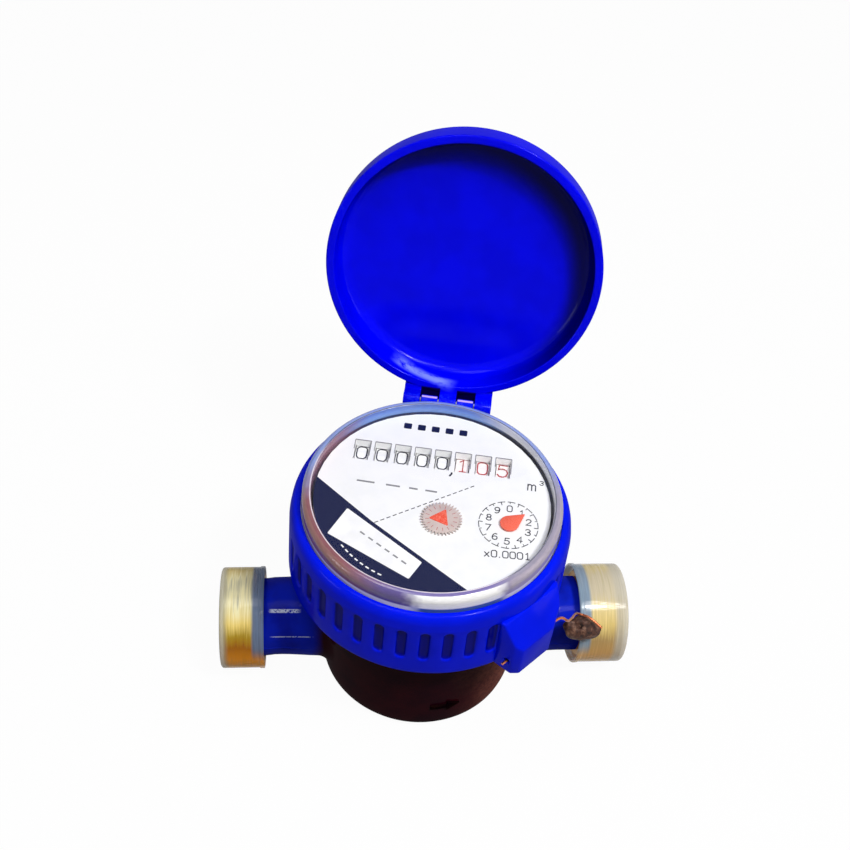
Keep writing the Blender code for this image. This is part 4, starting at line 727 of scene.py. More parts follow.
def makeCasting():
    c = casting
    outside = rounded([(0, 0), (c["cupRadius"], 0, c["baseFillet"]), (c["cupTopRadius"], c["cupHeight"], 1.2),
                       (c["shoulderRadius"], c["cupHeight"] + 4.3, 1.5), (c["shoulderRadius"], c["flangeZ"], 0.4),
                       (c["flangeRadius"], c["flangeZ"], 0.3), (c["flangeRadius"], c["rimZ"], 0.4),
                       (c["pocketRadius"], c["rimZ"], 0.3), (c["pocketRadius"], c["ledgeZ"], 0.3),
                       (c["chamberRadius"], c["ledgeZ"], 0.3), (c["chamberRadius"], c["chamberFloor"], 2.0),
                       (0, c["chamberFloor"])], 5, closed=False)
    ringed = []
    for near, far in zip(outside, outside[1:]):  # rings up the cup's side keep the booleans' faces small
        ringed.append(near)
        parts = int(math.dist(near, far) / 4)
        if near[0] > 10 and far[0] > 10:
            ringed += [(near[0] + (far[0] - near[0]) * k / (parts + 1),
                        near[1] + (far[1] - near[1]) * k / (parts + 1))
                       for k in range(1, parts + 1)]
    ringed.append(outside[-1])
    bm = bmesh.new()
    lathe(bm, ringed, 160)
    cup = addPiece("bodyCasting", bm, "castPaint", "meter", ("body_casting",))
    necks = []
    for sign, name in ((-1, "inletNeck"), (1, "outletNeck")):
        bm = bmesh.new()
        skin(bm, neckRows(sign))
        necks.append(addPiece(name, bm, "castPaint", None))
    combine(cup, necks)
    bm = bmesh.new()
    lathe(bm, [(0, c["chamberFloor"]), (c["chamberRadius"] - 2.0, c["chamberFloor"]),
               (c["chamberRadius"], c["chamberFloor"] + 2.0), (c["chamberRadius"], 35.0), (0, 35.0)], 96)
    room = addPiece("chamber", bm, None, None)
    ports = []
    for sign in (-1, 1):
        start = Vector((sign * (c["ends"][sign] - c["boreDepth"]), 0, c["pipeZ"]))
        finishAt = Vector((sign * 12.9, -14.0, c["pipeZ"]))
        aim = (finishAt - start).to_track_quat("Z", "Y").to_matrix().to_4x4()
        bm = bmesh.new()
        lathe(bm, [(0, -1.9), (4.6, -1.9), (4.6, (finishAt - start).length), (0, (finishAt - start).length)], 32)
        ports.append(addPiece("port", bm, None, None, place=Matrix.Translation(start) @ aim))
    combine(cup, [room] + ports, "DIFFERENCE")
    return cup


def makeFlowArrow():
    a = arrow
    outline = [(-a["length"] / 2, -0.7), (a["length"] * 0.06, -0.7),
               (a["length"] * 0.06, -a["head"]), (a["length"] / 2, 0.3),
               (a["length"] * 0.06, a["head"]), (a["length"] * 0.06, 0.7), (-a["length"] / 2, 0.7)]
    finer = []
    for near, far in zip(outline, outline[1:] + outline[:1]):
        parts = max(1, int(math.dist(near, far) / 0.6))
        finer += [(near[0] + (far[0] - near[0]) * k / parts, near[1] + (far[1] - near[1]) * k / parts)
                  for k in range(parts)]
    centre = Vector((sum(x for x, y in finer) / len(finer), sum(y for x, y in finer) / len(finer)))
    rows = []
    for share, lift in ((1.0, -0.25), (1.0, a["lift"] * 0.6), (0.93, a["lift"]),
                        (0.5, a["lift"]), (0.15, a["lift"])):
        row = []
        for spot in finer:
            place = centre + (Vector(spot) - centre) * share
            height = a["z"] + place.y
            out = cupRadiusAt(height) + lift
            turn = math.radians(a["angle"]) + place.x / casting["cupRadius"]
            row.append((out * math.cos(turn), out * math.sin(turn), height))
        rows.append(row)
    bm = bmesh.new()
    made = skin(bm, rows)
    bm.faces.new(made[-1])
    bm.faces.new(made[0][::-1])
    addPiece("flowArrow", bm, "arrowPaint", "meter", sharp=30)


makeCasting()
makeFlowArrow()
print("casting made")


# Clamp ring with its grips, sealing lug and hinge arms

ring = {
    "topZ": 64.8, "bottomZ": 42.9, "topRadius": 36.1, "bottomRadius": 36.7, "lipRadius": 33.5, "lipZ": 63.0,
    "innerRadius": 34.6, "beadRadius": 33.3, "beadTop": 45.1, "edge": 2.0, "edgeDrop": 3.6,
    "grips": 40, "gripWidth": 2.9, "gripLength": 11.0, "gripDepth": 0.8, "gripZ": 54.1, "gripSoft": 0.35,
    "lugAngle": -40.3, "lugReach": 41.7, "lugWidth": 20.0, "lugTop": 60.0, "lugChamfer": 2.5,
    "lugHole": 0.9, "lugHoleZ": 47.4,
}
hinge = {"back": hingeBack, "z": hingeZ, "width": 24.6, "armWidth": 4.6, "armX": hingeArmX, "knuckle": 1.9, "armKnuckle": 1.55,
         "pin": 0.8}


def gripDepthAt(angle, z):
    r = ring
    pitch = math.tau / r["grips"]
    number = math.floor(angle / pitch)
    middle = (number + 0.5) * pitch
    fromLug = abs((middle - math.radians(r["lugAngle"]) + math.pi) % math.tau - math.pi)
    fromHinge = abs((middle - math.pi / 2 + math.pi) % math.tau - math.pi)
    if fromLug < math.atan2(r["lugWidth"] / 2 + r["gripWidth"] * 0.7, r["lugReach"]):
        return 0.0
    if fromHinge < math.atan2(hinge["armX"] + hinge["armWidth"] / 2 + r["gripWidth"] / 2, hinge["back"]):
        return 0.0
    across = abs(angle - middle) * r["bottomRadius"]
    along = max(abs(z - r["gripZ"]) - (r["gripLength"] - r["gripWidth"]) / 2, 0.0)
    inside = r["gripWidth"] / 2 - math.hypot(across, along)
    return r["gripDepth"] * smoothed((inside + r["gripSoft"] * 0.5) / (r["gripSoft"] * 2.2))


def ringAngles():
    r = ring
    pitch = math.tau / r["grips"]
    half = r["gripWidth"] / 2 / r["bottomRadius"]
    shares = [0.0]
    for off in (-1.18, -1.0, -0.86, -0.72, -0.55, -0.28, 0.0, 0.28, 0.55, 0.72, 0.86, 1.0, 1.18):
        shares.append(pitch / 2 + off * half)
    return [k * pitch + share for k in range(r["grips"]) for share in shares]


def makeRing():
    r = ring
    angles = ringAngles()
    top = r["topZ"] - r["edgeDrop"]
    wall = []
    low, high = r["gripZ"] - r["gripLength"] / 2, r["gripZ"] + r["gripLength"] / 2
    heights = [r["bottomZ"] + 1.0, (r["bottomZ"] + low) / 2]
    for off in (-0.5, -0.15, 0.1, 0.35, 0.7, 1.2, 2.0):
        heights.append(low + off)
    heights += [low + 3.2, r["gripZ"], high - 3.2]
    for off in (2.0, 1.2, 0.7, 0.35, 0.1, -0.15, -0.5):
        heights.append(high - off)
    heights.append(top - 0.8)
    for z in heights:
        share = (z - r["bottomZ"]) / (r["topZ"] - r["bottomZ"])
        wall.append((r["bottomRadius"] + (r["topRadius"] + 0.1 - r["bottomRadius"]) * share, z, True))
    foot = [(r["beadRadius"] + 0.2, r["bottomZ"], False), (r["bottomRadius"] - 0.8, r["bottomZ"], False),
            (r["bottomRadius"] - 0.3, r["bottomZ"] + 0.12, False),
            (r["bottomRadius"] - 0.06, r["bottomZ"] + 0.42, False)]
    crown = []
    for step in range(9):
        bend = math.radians(90) * step / 8
        crown.append((r["topRadius"] - r["edge"] + r["edge"] * math.cos(bend),
                      top + r["edgeDrop"] * math.sin(bend),
                      False))
    inside = [(r["lipRadius"] + 0.25, r["topZ"], False), (r["lipRadius"], r["topZ"] - 0.25, False),
              (r["lipRadius"], r["lipZ"], False), (r["innerRadius"], r["lipZ"], False),
              (r["innerRadius"], r["beadTop"], False), (r["beadRadius"], r["beadTop"], False),
              (r["beadRadius"], r["bottomZ"] + 0.2, False)]
    rows = []
    for radius, z, gripped in foot + wall + crown + inside:
        row = []
        for a in angles:
            away = radius - (gripDepthAt(a, z) if gripped else 0.0)
            row.append((away * math.cos(a), away * math.sin(a), z))
        rows.append(row)
    bm = bmesh.new()
    skin(bm, rows, ring=True)
    made = addPiece("clampRing", bm, "bluePlastic", "meter", ("clamp_ring",), 38, registerTurn)
    combine(made, [makeLug(), makeArms()], sharp=38)
    return made


def bevelled(piece, width, segments=3, angle=30):
    change = piece.modifiers.new("edge", "BEVEL")
    change.width = width / 1000
    change.segments = segments
    change.limit_method = "ANGLE"
    change.angle_limit = math.radians(angle)
    change.harden_normals = False
    bpy.context.view_layer.update()
    seen = piece.evaluated_get(bpy.context.evaluated_depsgraph_get())
    mesh = bpy.data.meshes.new_from_object(seen)
    piece.modifiers.clear()
    old = piece.data
    piece.data = mesh
    bpy.data.meshes.remove(old)
    mesh.shade_smooth()
    mesh.set_sharp_from_angle(angle=math.radians(38))
    return piece


def makeLug():
    r = ring
    half, reach, chamfer = r["lugWidth"] / 2, r["lugReach"], r["lugChamfer"]
    inside = r["innerRadius"] + 0.4
    turn = registerTurn @ Matrix.Rotation(math.radians(r["lugAngle"]), 4, "Z")
    bm = bmesh.new()
    slab(bm, [(inside, -half), (reach - chamfer * 0.6, -half * 0.93), (reach, -half + chamfer),
              (reach, half - chamfer * 2.7), (reach - chamfer, half - chamfer * 0.9), (inside, half)],
         r["bottomZ"], r["lugTop"])
    lug = addPiece("lug", bm, "bluePlastic", None, place=turn)
    bm = bmesh.new()
    slab(bm, [(reach - 6.0, r["lugTop"] + 1), (reach + 2, r["lugTop"] - 10), (reach + 2, r["lugTop"] + 1)],
         -half - 2, half + 2)
    slope = addPiece("slope", bm, None, None, place=turn @ Matrix.Rotation(math.radians(90), 4, "X"))
    combine(lug, [slope], "DIFFERENCE")
    bevelled(lug, 0.45)
    bm = bmesh.new()
    lathe(bm, [(0, -half - 2), (r["lugHole"], -half - 2), (r["lugHole"], half + 2), (0, half + 2)], 24)
    hole = addPiece("hole", bm, None, None,
                    place=turn @ Matrix.Translation((reach - 3.0, 0, r["lugHoleZ"]))
                    @ Matrix.Rotation(math.radians(90), 4, "X"))
    return combine(lug, [hole], "DIFFERENCE")


def makeArms():
    h = hinge
    outline = [(ring["innerRadius"] + 0.4, h["z"] - h["knuckle"] * 3.2)]
    for step in range(15):
        bend = math.radians(-60 + 180 * step / 14)
        outline.append((h["back"] + h["armKnuckle"] * math.cos(bend), h["z"] + h["armKnuckle"] * math.sin(bend)))
    outline.append((ring["topRadius"] - 0.6, h["z"] + h["knuckle"] * 0.2))
    outline.append((ring["innerRadius"] + 0.4, h["z"] - h["knuckle"]))
    upright = Matrix.Rotation(math.radians(90), 4, "Z") @ Matrix.Rotation(math.radians(90), 4, "X")
    bm = bmesh.new()
    for x in (-h["armX"], h["armX"]):
        slab(bm, outline, -h["armWidth"] / 2, h["armWidth"] / 2, Matrix.Translation((x, 0, 0)) @ upright)
    arms = addPiece("arms", bm, "bluePlastic", None, place=registerTurn)
    bevelled(arms, 0.25, 2, 40)
    bm = bmesh.new()
    lathe(bm, [(0, -12.3), (h["pin"] + 0.3, -12.3), (h["pin"] + 0.3, 12.3), (0, 12.3)], 20)
    bore = addPiece("bore", bm, None, None, place=registerTurn @ Matrix.Translation((0, h["back"], h["z"]))
                    @ Matrix.Rotation(math.radians(90), 4, "Y"))
    return combine(arms, [bore], "DIFFERENCE")


makeRing()
print("ring made")


# Lid, made shut about its hinge axis and swung open

lid = {"radius": 36.7, "wall": 2.3, "height": 9.92, "skin": 1.3, "edgeFillet": 2.6,
       "innerFillet": 3.6, "open": lidOpen}


def makeLid():
    d, h = lid, hinge
    rim = ring["topZ"] + 0.3 - h["z"]
    top = rim + d["height"]
    inner = d["radius"] - d["wall"]
    place = registerTurn @ Matrix.Translation((0, h["back"], h["z"])) \
        @ Matrix.Rotation(math.radians(-d["open"]), 4, "X")
    profile = rounded([(0, top - d["skin"]), (inner, top - d["skin"], d["innerFillet"]), (inner, rim, 0.5),
                       (d["radius"], rim, 0.5), (d["radius"], top, d["edgeFillet"]), (0, top)], 8, closed=False)
    finer = []
    for near, far in zip(profile, profile[1:]):
        finer.append(near)
        parts = int(math.dist(near, far) / 5)
        finer += [(near[0] + (far[0] - near[0]) * k / (parts + 1),
                   near[1] + (far[1] - near[1]) * k / (parts + 1))
                  for k in range(1, parts + 1)]
    finer.append(profile[-1])
    bm = bmesh.new()
    lathe(bm, finer, 192)
    made = addPiece("lidShell", bm, "lidPlastic", "lid", ("lid",), 38,
                    place @ Matrix.Translation((0, -h["back"], 0)))
    outline = []
    for step in range(13):
        bend = math.radians(180 + 180 * step / 12)
        outline.append((h["knuckle"] * math.cos(bend), h["knuckle"] * math.sin(bend)))
    edge = d["radius"] - h["back"] - d["wall"] * 0.6
    outline += [(h["knuckle"], rim + 5.0), (h["knuckle"] * 0.2, rim + 7.2), (edge, rim + 7.2), (edge, rim + 0.2),
                (-h["knuckle"], rim + 0.2)]
    upright = Matrix.Rotation(math.radians(90), 4, "Z") @ Matrix.Rotation(math.radians(90), 4, "X")
    bm = bmesh.new()
    slab(bm, outline, -h["width"] / 2, h["width"] / 2, upright)
    tongue = bevelled(addPiece("tongue", bm, "lidPlastic", None, place=place), 0.3, 2, 40)
    bm = bmesh.new()
    half = h["armWidth"] / 2 + 0.3
    for x in (-h["armX"], h["armX"]):
        slab(bm, [(x - half, -2.9), (x + half, -2.9), (x + half, 2.9), (x - half, 2.9)], -2.9, h["knuckle"] + 0.8)
    slots = addPiece("slots", bm, None, None, place=place)
    combine(tongue, [slots], "DIFFERENCE")
    combine(made, [tongue], sharp=38)
    bm = bmesh.new()
    lathe(bm, [(0, -25), (h["pin"] + 0.3, -25), (h["pin"] + 0.3, 25), (0, 25)], 20)
    bore = addPiece("bore", bm, None, None, place=place @ Matrix.Rotation(math.radians(90), 4, "Y"))
    combine(made, [bore], "DIFFERENCE", 38)
    return made


makeLid()
print("lid made")


# Clear housing over the dial

lens = {"radius": 33.2, "flangeRadius": 34.3, "flangeThickness": 1.2, "wall": 2.3, "topThickness": 1.6,
        "topZ": 69.4, "lowZ": 61.5}


def makeLens():
    d = lens
    inner = d["radius"] - d["wall"]
    under = d["topZ"] - d["topThickness"]
    flangeTop = d["lowZ"] + d["flangeThickness"]
    profile = rounded([(inner, under, 0.4), (inner, d["lowZ"], 0.2), (d["flangeRadius"], d["lowZ"], 0.2),
                       (d["flangeRadius"], flangeTop, 0.3), (d["radius"], flangeTop, 0.4),
                       (d["radius"], d["topZ"], 1.9), (inner, d["topZ"], 0.25)], 6)
    bm = bmesh.new()
    lathe(bm, profile, 144, ring=True)
    addPiece("clearHousing", bm, "clearRim", "meter", ("register_housing",), 60, registerTurn)
    bm = bmesh.new()
    lathe(bm, [(0, d["topZ"] - 0.1), (inner + 0.05, d["topZ"] - 0.1)], 144)
    addPiece("clearWindow", bm, "clearTop", "meter", sharp=60, place=registerTurn)


makeLens()
print("clear housing made")


# Thread caps

cap = {"radius": 14.15, "wall": 0.6, "end": 1.1, "rimX": 43.5, "chamfer": 0.9, "bead": 0.2}


def makeCaps():
    d = cap
    inner = d["radius"] - d["wall"]
    for sign, body, name, look in ((-1, "inlet_cap", "inletCap", "capClear"),
                                   (1, "outlet_cap", "outletCap", "capMilky")):
        end = casting["ends"][sign] + 0.3 + d["end"]
        profile = rounded([
            (0, end - d["end"]), (inner, end - d["end"], 0.5),
            (inner, d["rimX"], 0.15), (d["radius"], d["rimX"], 0.25),
            (d["radius"], d["rimX"] + 1.1, 0.1), (d["radius"] - d["bead"], d["rimX"] + 1.5, 0.1),
            (d["radius"] - d["bead"], end, d["chamfer"]), (0, end)], 5, closed=False)
        bm = bmesh.new()
        lathe(bm, profile, 112)
        place = Matrix.Translation((0, 0, casting["pipeZ"])) @ Matrix.Rotation(math.radians(90) * sign, 4, "Y")
        addPiece(name, bm, look, body, (body,), 40, place)


makeCaps()
print("caps made")


# Marks printed on the dial and on the wheels

glyphs = {
    "0": [[(1, 0), (3, 0), (3.8, 0.7), (4, 1.6), (4, 4.4), (3.8, 5.3), (3, 6), (1, 6), (0.2, 5.3), (0, 4.4), (0, 1.6),
           (0.2, 0.7), (1, 0)]],
    "1": [[(1.0, 4.7), (2.3, 6), (2.3, 0)], [(1.1, 0), (3.5, 0)]],
    "2": [[(0.1, 4.6), (0.6, 5.6), (2, 6), (3.4, 5.6), (3.9, 4.5), (3.3, 3.2), (0.1, 0), (4, 0)]],
    "3": [[(0.2, 5.1), (0.9, 5.8), (2.1, 6), (3.4, 5.5), (3.8, 4.6), (3.2, 3.6), (1.7, 3.2)],
          [(1.7, 3.2), (3.4, 2.8), (4, 1.7), (3.5, 0.5), (2, 0), (0.7, 0.3), (0, 1.1)]],
    "4": [[(3.0, 0), (3.0, 6), (0, 1.8), (4, 1.8)]],
    "5": [[(3.7, 6), (0.6, 6), (0.3, 3.3), (1.2, 3.8), (2.5, 3.8), (3.6, 3.1), (4, 1.9), (3.5, 0.6), (2.2, 0),
           (0.8, 0.2), (0, 1.0)]],
    "6": [[(3.5, 5.7), (2.3, 6), (0.9, 5.3), (0.15, 3.6), (0, 1.9), (0.6, 0.5), (2, 0), (3.4, 0.5), (4, 1.9),
           (3.4, 3.2), (2, 3.6), (0.7, 3.1), (0.05, 2.1)]],
    "7": [[(0, 6), (4, 6), (1.4, 0)]],
    "8": [[(2, 3.2), (0.8, 3.6), (0.3, 4.6), (0.8, 5.6), (2, 6), (3.2, 5.6), (3.7, 4.6), (3.2, 3.6), (2, 3.2)],
          [(2, 3.2), (0.6, 2.7), (0, 1.6), (0.6, 0.4), (2, 0), (3.4, 0.4), (4, 1.6), (3.4, 2.7), (2, 3.2)]],
    "9": [[(0.5, 0.3), (1.7, 0), (3.1, 0.7), (3.85, 2.4), (4, 4.1), (3.4, 5.5), (2, 6), (0.6, 5.5), (0, 4.1),
           (0.6, 2.8), (2, 2.4), (3.3, 2.9), (3.95, 3.9)]],
    "x": [[(0.4, 0), (3.6, 4)], [(0.4, 4), (3.6, 0)]],
    "m": [[(0, 0), (0, 4)], [(0, 3), (0.8, 4), (1.5, 3.9), (2, 3), (2, 0)],
          [(2, 3), (2.8, 4), (3.5, 3.9), (4, 3), (4, 0)]],
    ".": [[(0.7, 0), (0.7, 0.25)]],
    ",": [[(2.3, 0.5), (2.2, -0.3), (1.5, -1.4)]],
}


def stroke(line, width):  # the outline strips of one pen stroke, as quads of places
    points = [Vector(spot) for spot in line]
    closed = (points[0] - points[-1]).length < 1e-6
    sides = []
    for i, here in enumerate(points):
        if closed:
            before = points[i - 1] if i else points[-2]
            after = points[i + 1] if i + 1 < len(points) else points[1]
        else:
            before = points[i - 1] if i else here - (points[1] - here)
            after = points[i + 1] if i + 1 < len(points) else here + (here - points[i - 1])
        inward, outward = (here - before).normalized(), (after - here).normalized()
        middle = inward + outward
        middle = middle.normalized() if middle.length > 1e-6 else inward
        across = Vector((-middle.y, middle.x))
        stretch = min(1 / max(across.dot(Vector((-inward.y, inward.x))), 0.35), 1.9)
        reach = Vector((0, 0))
        if not closed and i == 0:
            reach = -middle * width * 0.4
        elif not closed and i == len(points) - 1:
            reach = middle * width * 0.4
        sides.append((here + reach + across * width / 2 * stretch, here + reach - across * width / 2 * stretch))
    return [(a[0], a[1], b[1], b[0]) for a, b in zip(sides, sides[1:])]


def glyphQuads(text, height, width, spacing=5.4):
    unit = height / 6
    quads = []
    shift = 0.0
    for letter in text:
        for line in glyphs[letter]:
            for quad in stroke([(x * unit, y * unit) for x, y in line], width):
                quads.append([corner + Vector((shift * unit, 0)) for corner in quad])
        shift += 3.0 if letter in ".," else spacing
    span = (shift - (spacing - 4)) * unit
    return [[corner - Vector((span / 2, height / 2)) for corner in quad] for quad in quads]


def printQuads(bm, quads, low, high, place=None):
    for quad in quads:
        slab(bm, [(corner.x, corner.y) for corner in quad], low, high, place)


dial = {"z": 66.2, "radius": 30.3, "ink": 0.07, "wheels": 8, "firstX": -20.3, "pitch": 5.34, "rowY": 13.9,
        "windowWidth": 4.0, "windowHeight": 6.6, "star": (2.8, -6.2), "pointer": (19.9, -4.9),
        "scale": (19.7, -4.9), "scaleRadius": 7.5}


def bar(start, stop, width):
    a, b = Vector(start), Vector(stop)
    across = (b - a).normalized().orthogonal() * width / 2
    return (a + across, a - across, b - across, b + across)


def makeDialPrint():
    d = dial
    z, ink = d["z"], d["ink"]
    bm = bmesh.new()
    chord = [(-30.15, 2.6), (-17.4, -7.2), (-14.1, -9.7), (-0.4, -18.9), (12.6, -27.5)]
    first = math.atan2(chord[-1][1], chord[-1][0])
    last = math.atan2(chord[0][1], chord[0][0]) - math.tau
    arc = [(d["radius"] * math.cos(first + (last - first) * k / 60),
            d["radius"] * math.sin(first + (last - first) * k / 60))
           for k in range(61)]
    slab(bm, chord[1:-1] + arc, z, z + ink)
    addPiece("navyField", bm, "navyPrint", "meter", place=registerTurn)
    bm = bmesh.new()
    slab(bm, rounded([(-20.9, -6.5, 0.3), (-24.5, -15.2, 0.3), (-3.0, -25.7, 0.3), (-0.4, -20.3, 0.3)], 3),
         z + ink, z + ink + 0.08)
    addPiece("label", bm, "labelPaper", "meter", place=registerTurn)
    bm = bmesh.new()
    start, stop = Vector((-13.6, -9.9)), Vector((10.6, 6.8))
    for k in range(17):
        printQuads(bm, [bar(start.lerp(stop, k / 17), start.lerp(stop, (k + 0.62) / 17), 0.22)], z, z + ink)
    for k in range(100):
        a = math.tau * k / 100
        if k % 10 == 0:
            inner, width = d["scaleRadius"] - 1.0, 0.2
        elif k % 5 == 0:
            inner, width = d["scaleRadius"] - 0.6, 0.16
        else:
            continue
        centre, way = Vector(d["scale"]), Vector((math.cos(a), math.sin(a)))
        printQuads(bm, [bar(centre + way * inner, centre + way * (d["scaleRadius"] + 0.1), width)], z, z + ink)
    circle = [(d["scale"][0] + d["scaleRadius"] * math.cos(math.tau * k / 72),
               d["scale"][1] + d["scaleRadius"] * math.sin(math.tau * k / 72)) for k in range(73)]
    for k, quad in enumerate(stroke(circle, 0.2)):
        if k % 4 != 3:
            printQuads(bm, [quad], z, z + ink)
    for number in range(10):
        a = math.pi / 2 - math.tau * number / 10
        spot = Matrix.Translation((d["scale"][0] + 5.3 * math.cos(a), d["scale"][1] + 5.3 * math.sin(a), 0))
        printQuads(bm, glyphQuads(str(number), 1.9, 0.24), z, z + ink, spot)
    way = math.atan2(1.6, 9.45)
    printQuads(bm, glyphQuads("x0.0001", 2.0, 0.24), z, z + ink,
               Matrix.Translation((20.0, -14.4, 0)) @ Matrix.Rotation(way * 0.35, 4, "Z"))
    printQuads(bm, glyphQuads("m", 3.0, 0.28), z, z + ink, Matrix.Translation((24.9, 9.0, 0)))
    printQuads(bm, glyphQuads("3", 1.4, 0.2), z, z + ink, Matrix.Translation((27.4, 10.4, 0)))
    printQuads(bm, glyphQuads(",", 3.2, 0.45), z, z + ink, Matrix.Translation((3.1, 11.2, 0)))
    addPiece("fineMarks", bm, "blackPrint", "meter", place=registerTurn)
    bm = bmesh.new()
    for k in range(5):
        x, y = -9.4 + 3.75 * k, 24.6
        slab(bm, rounded([(x - 1.05, y - 1.0, 0.3), (x + 1.05, y - 1.0, 0.3), (x + 1.05, y + 1.0, 0.3),
                          (x - 1.05, y + 1.0, 0.3)], 3), z, z + ink)
    addPiece("topMarks", bm, "navyPrint", "meter", place=registerTurn)
    bm = bmesh.new()
    for k in range(8):
        a = math.radians(-137.5 + 3.7 * k)
        spot = Vector((27.4 * math.cos(a), 27.4 * math.sin(a)))
        way = Vector((-math.sin(a), math.cos(a)))
        printQuads(bm, [bar(spot - way * 0.5, spot + way * 0.5, 0.4)], z + ink, z + ink + 0.02)
    addPiece("paleMarks", bm, "dialWhite", "meter", place=registerTurn)
    bm = bmesh.new()
    for k in range(6):
        spot = Vector((-16.6, -13.4)).lerp(Vector((-5.4, -20.6)), k / 5)
        printQuads(bm, [bar(spot, spot + Vector((1.25, -0.8)), 0.45)], z + ink + 0.08, z + ink + 0.10)
    addPiece("labelMarks", bm, "greyPrint", "meter", place=registerTurn)
    bm = bmesh.new()
    for x, y, wide in ((-20.0, 3.2, 4.6), (-12.4, 3.0, 3.6), (-6.4, 2.9, 2.2), (-2.2, 2.8, 3.0)):
        printQuads(bm, [bar((x, y), (x + wide, y - 0.1), 0.5)], z, z + ink)
    # grey lines along the top and sides of each window: painted shade of the window walls
    for i in range(d["wheels"]):
        x = d["firstX"] + d["pitch"] * i
        right, left = x + d["windowWidth"] / 2 + 0.12, x - d["windowWidth"] / 2 - 0.12
        top, low = d["rowY"] + d["windowHeight"] / 2 + 0.12, d["rowY"] - d["windowHeight"] / 2
        printQuads(bm, [bar((left, top), (right, top), 0.26), bar((right, top), (right, low + 1.5), 0.2),
                        bar((left, top), (left, low + 3.5), 0.2)], z, z + ink)
    addPiece("greyMarks", bm, "greyPrint", "meter", place=registerTurn)


wheel = {"radius": 7.6, "axleZ": 57.2, "shown": "00000105", "digitHeight": 4.3, "digitWidth": 0.34, "shift": 0.4}


def makeWheelDigits():
    d, w = dial, wheel
    for i, now in enumerate(w["shown"]):
        look, slot = ("blackPrint", "black_wheel") if i < 5 else ("redPrint", "red_wheel")
        bm = bmesh.new()
        for number in range(10):
            start = bmesh.new()
            quads = glyphQuads(str(number), w["digitHeight"], w["digitWidth"])
            for quad in quads:
                along = max(1, int(max((quad[2] - quad[1]).length, 0.01) / 0.5))
                for k in range(along):
                    a, b = k / along, (k + 1) / along
                    corners = (quad[0].lerp(quad[3], a), quad[1].lerp(quad[2], a), quad[1].lerp(quad[2], b),
                               quad[0].lerp(quad[3], b))
                    slab(start, [(c.x * 0.92, c.y) for c in corners], 0.0, 0.05)
            turn = math.tau * ((number - int(now)) % 10) / 10
            for vert in start.verts:
                angle = turn + (vert.co.y + w["shift"]) / w["radius"]
                out = w["radius"] + 0.01 + vert.co.z
                vert.co = Vector((vert.co.x, out * math.sin(angle), out * math.cos(angle)))
            lump = bpy.data.meshes.new("lump")
            start.to_mesh(lump)
            start.free()
            bm.from_mesh(lump)
            bpy.data.meshes.remove(lump)
        place = registerTurn @ Matrix.Translation((d["firstX"] + d["pitch"] * i, d["rowY"], w["axleZ"]))
        addPiece(f"digits{i + 1}", bm, look, f"wheel_{i + 1}", place=place)


def makeWindowFrame():  # sloped white sides between the dial's windows and the wheels
    d, w = dial, wheel
    bm = bmesh.new()
    for i in range(d["wheels"]):
        x, y = d["firstX"] + d["pitch"] * i, d["rowY"]
        half, tall = d["windowWidth"] / 2, d["windowHeight"] / 2
        corners = [(-half, -tall), (half, -tall), (half, tall), (-half, tall)]
        top, low = [], []
        for a, b in zip(corners, corners[1:] + corners[:1]):
            for k in range(6):
                across, along = a[0] + (b[0] - a[0]) * k / 6, a[1] + (b[1] - a[1]) * k / 6
                top.append((x + across, y + along, d["z"] - 0.02))
                along = along * (0.86 if along > 0 else 0.9)
                low.append((x + across * 0.95, y + along,
                            w["axleZ"] + math.sqrt((w["radius"] + 0.15) ** 2 - along ** 2)))
        skin(bm, [top, low])
    addPiece("windowFrame", bm, "dialWhite", "meter", sharp=30, place=registerTurn)


makeDialPrint()
makeWindowFrame()
makeWheelDigits()
print("marks printed")


# Flow star and pointer above the dial

star = {"radius": 5.35, "teeth": 36, "depth": 0.8, "z": 66.5, "thickness": 0.6}
needle = {"length": 5.2, "bulb": 2.4, "angle": 44, "z": 66.5, "thickness": 0.6}


def makeStar():
    s = star
    outline = []
    for i in range(s["teeth"]):
        middle = math.tau * i / s["teeth"]
        step = math.tau / s["teeth"]
        for radius, shift in ((s["radius"] - s["depth"], -0.34), (s["radius"], -0.07), (s["radius"], 0.07),
                              (s["radius"] - s["depth"], 0.34)):
            outline.append((radius * math.cos(middle + shift * step), radius * math.sin(middle + shift * step)))
    bm = bmesh.new()
    slab(bm, outline, s["z"], s["z"] + s["thickness"] - 0.15)
    place = registerTurn @ Matrix.Translation((*dial["star"], 0))
    disc = addPiece("flowStar", bm, "starPlastic", "star", ("flow_star",), 30, place)
    bevelled(disc, 0.08, 2, 50)
    bm = bmesh.new()
    corners = [(-3.2, -0.5, 0.25), (0.9, 3.0, 0.25), (1.9, -2.3, 0.25)]
    slab(bm, rounded(corners, 3), s["z"] + s["thickness"] - 0.16, s["z"] + s["thickness"])
    addPiece("starArrow", bm, "starRed", "star", place=place)
    bm = bmesh.new()
    for k in range(16):
        a = math.tau * (k + 0.5) / 16
        way = Vector((math.cos(a), math.sin(a)))
        printQuads(bm, [bar(way * 3.1, way * 4.1, 0.12)],
                   s["z"] + s["thickness"] - 0.15, s["z"] + s["thickness"] - 0.12)
    addPiece("starRays", bm, "redPrint", "star", place=place)


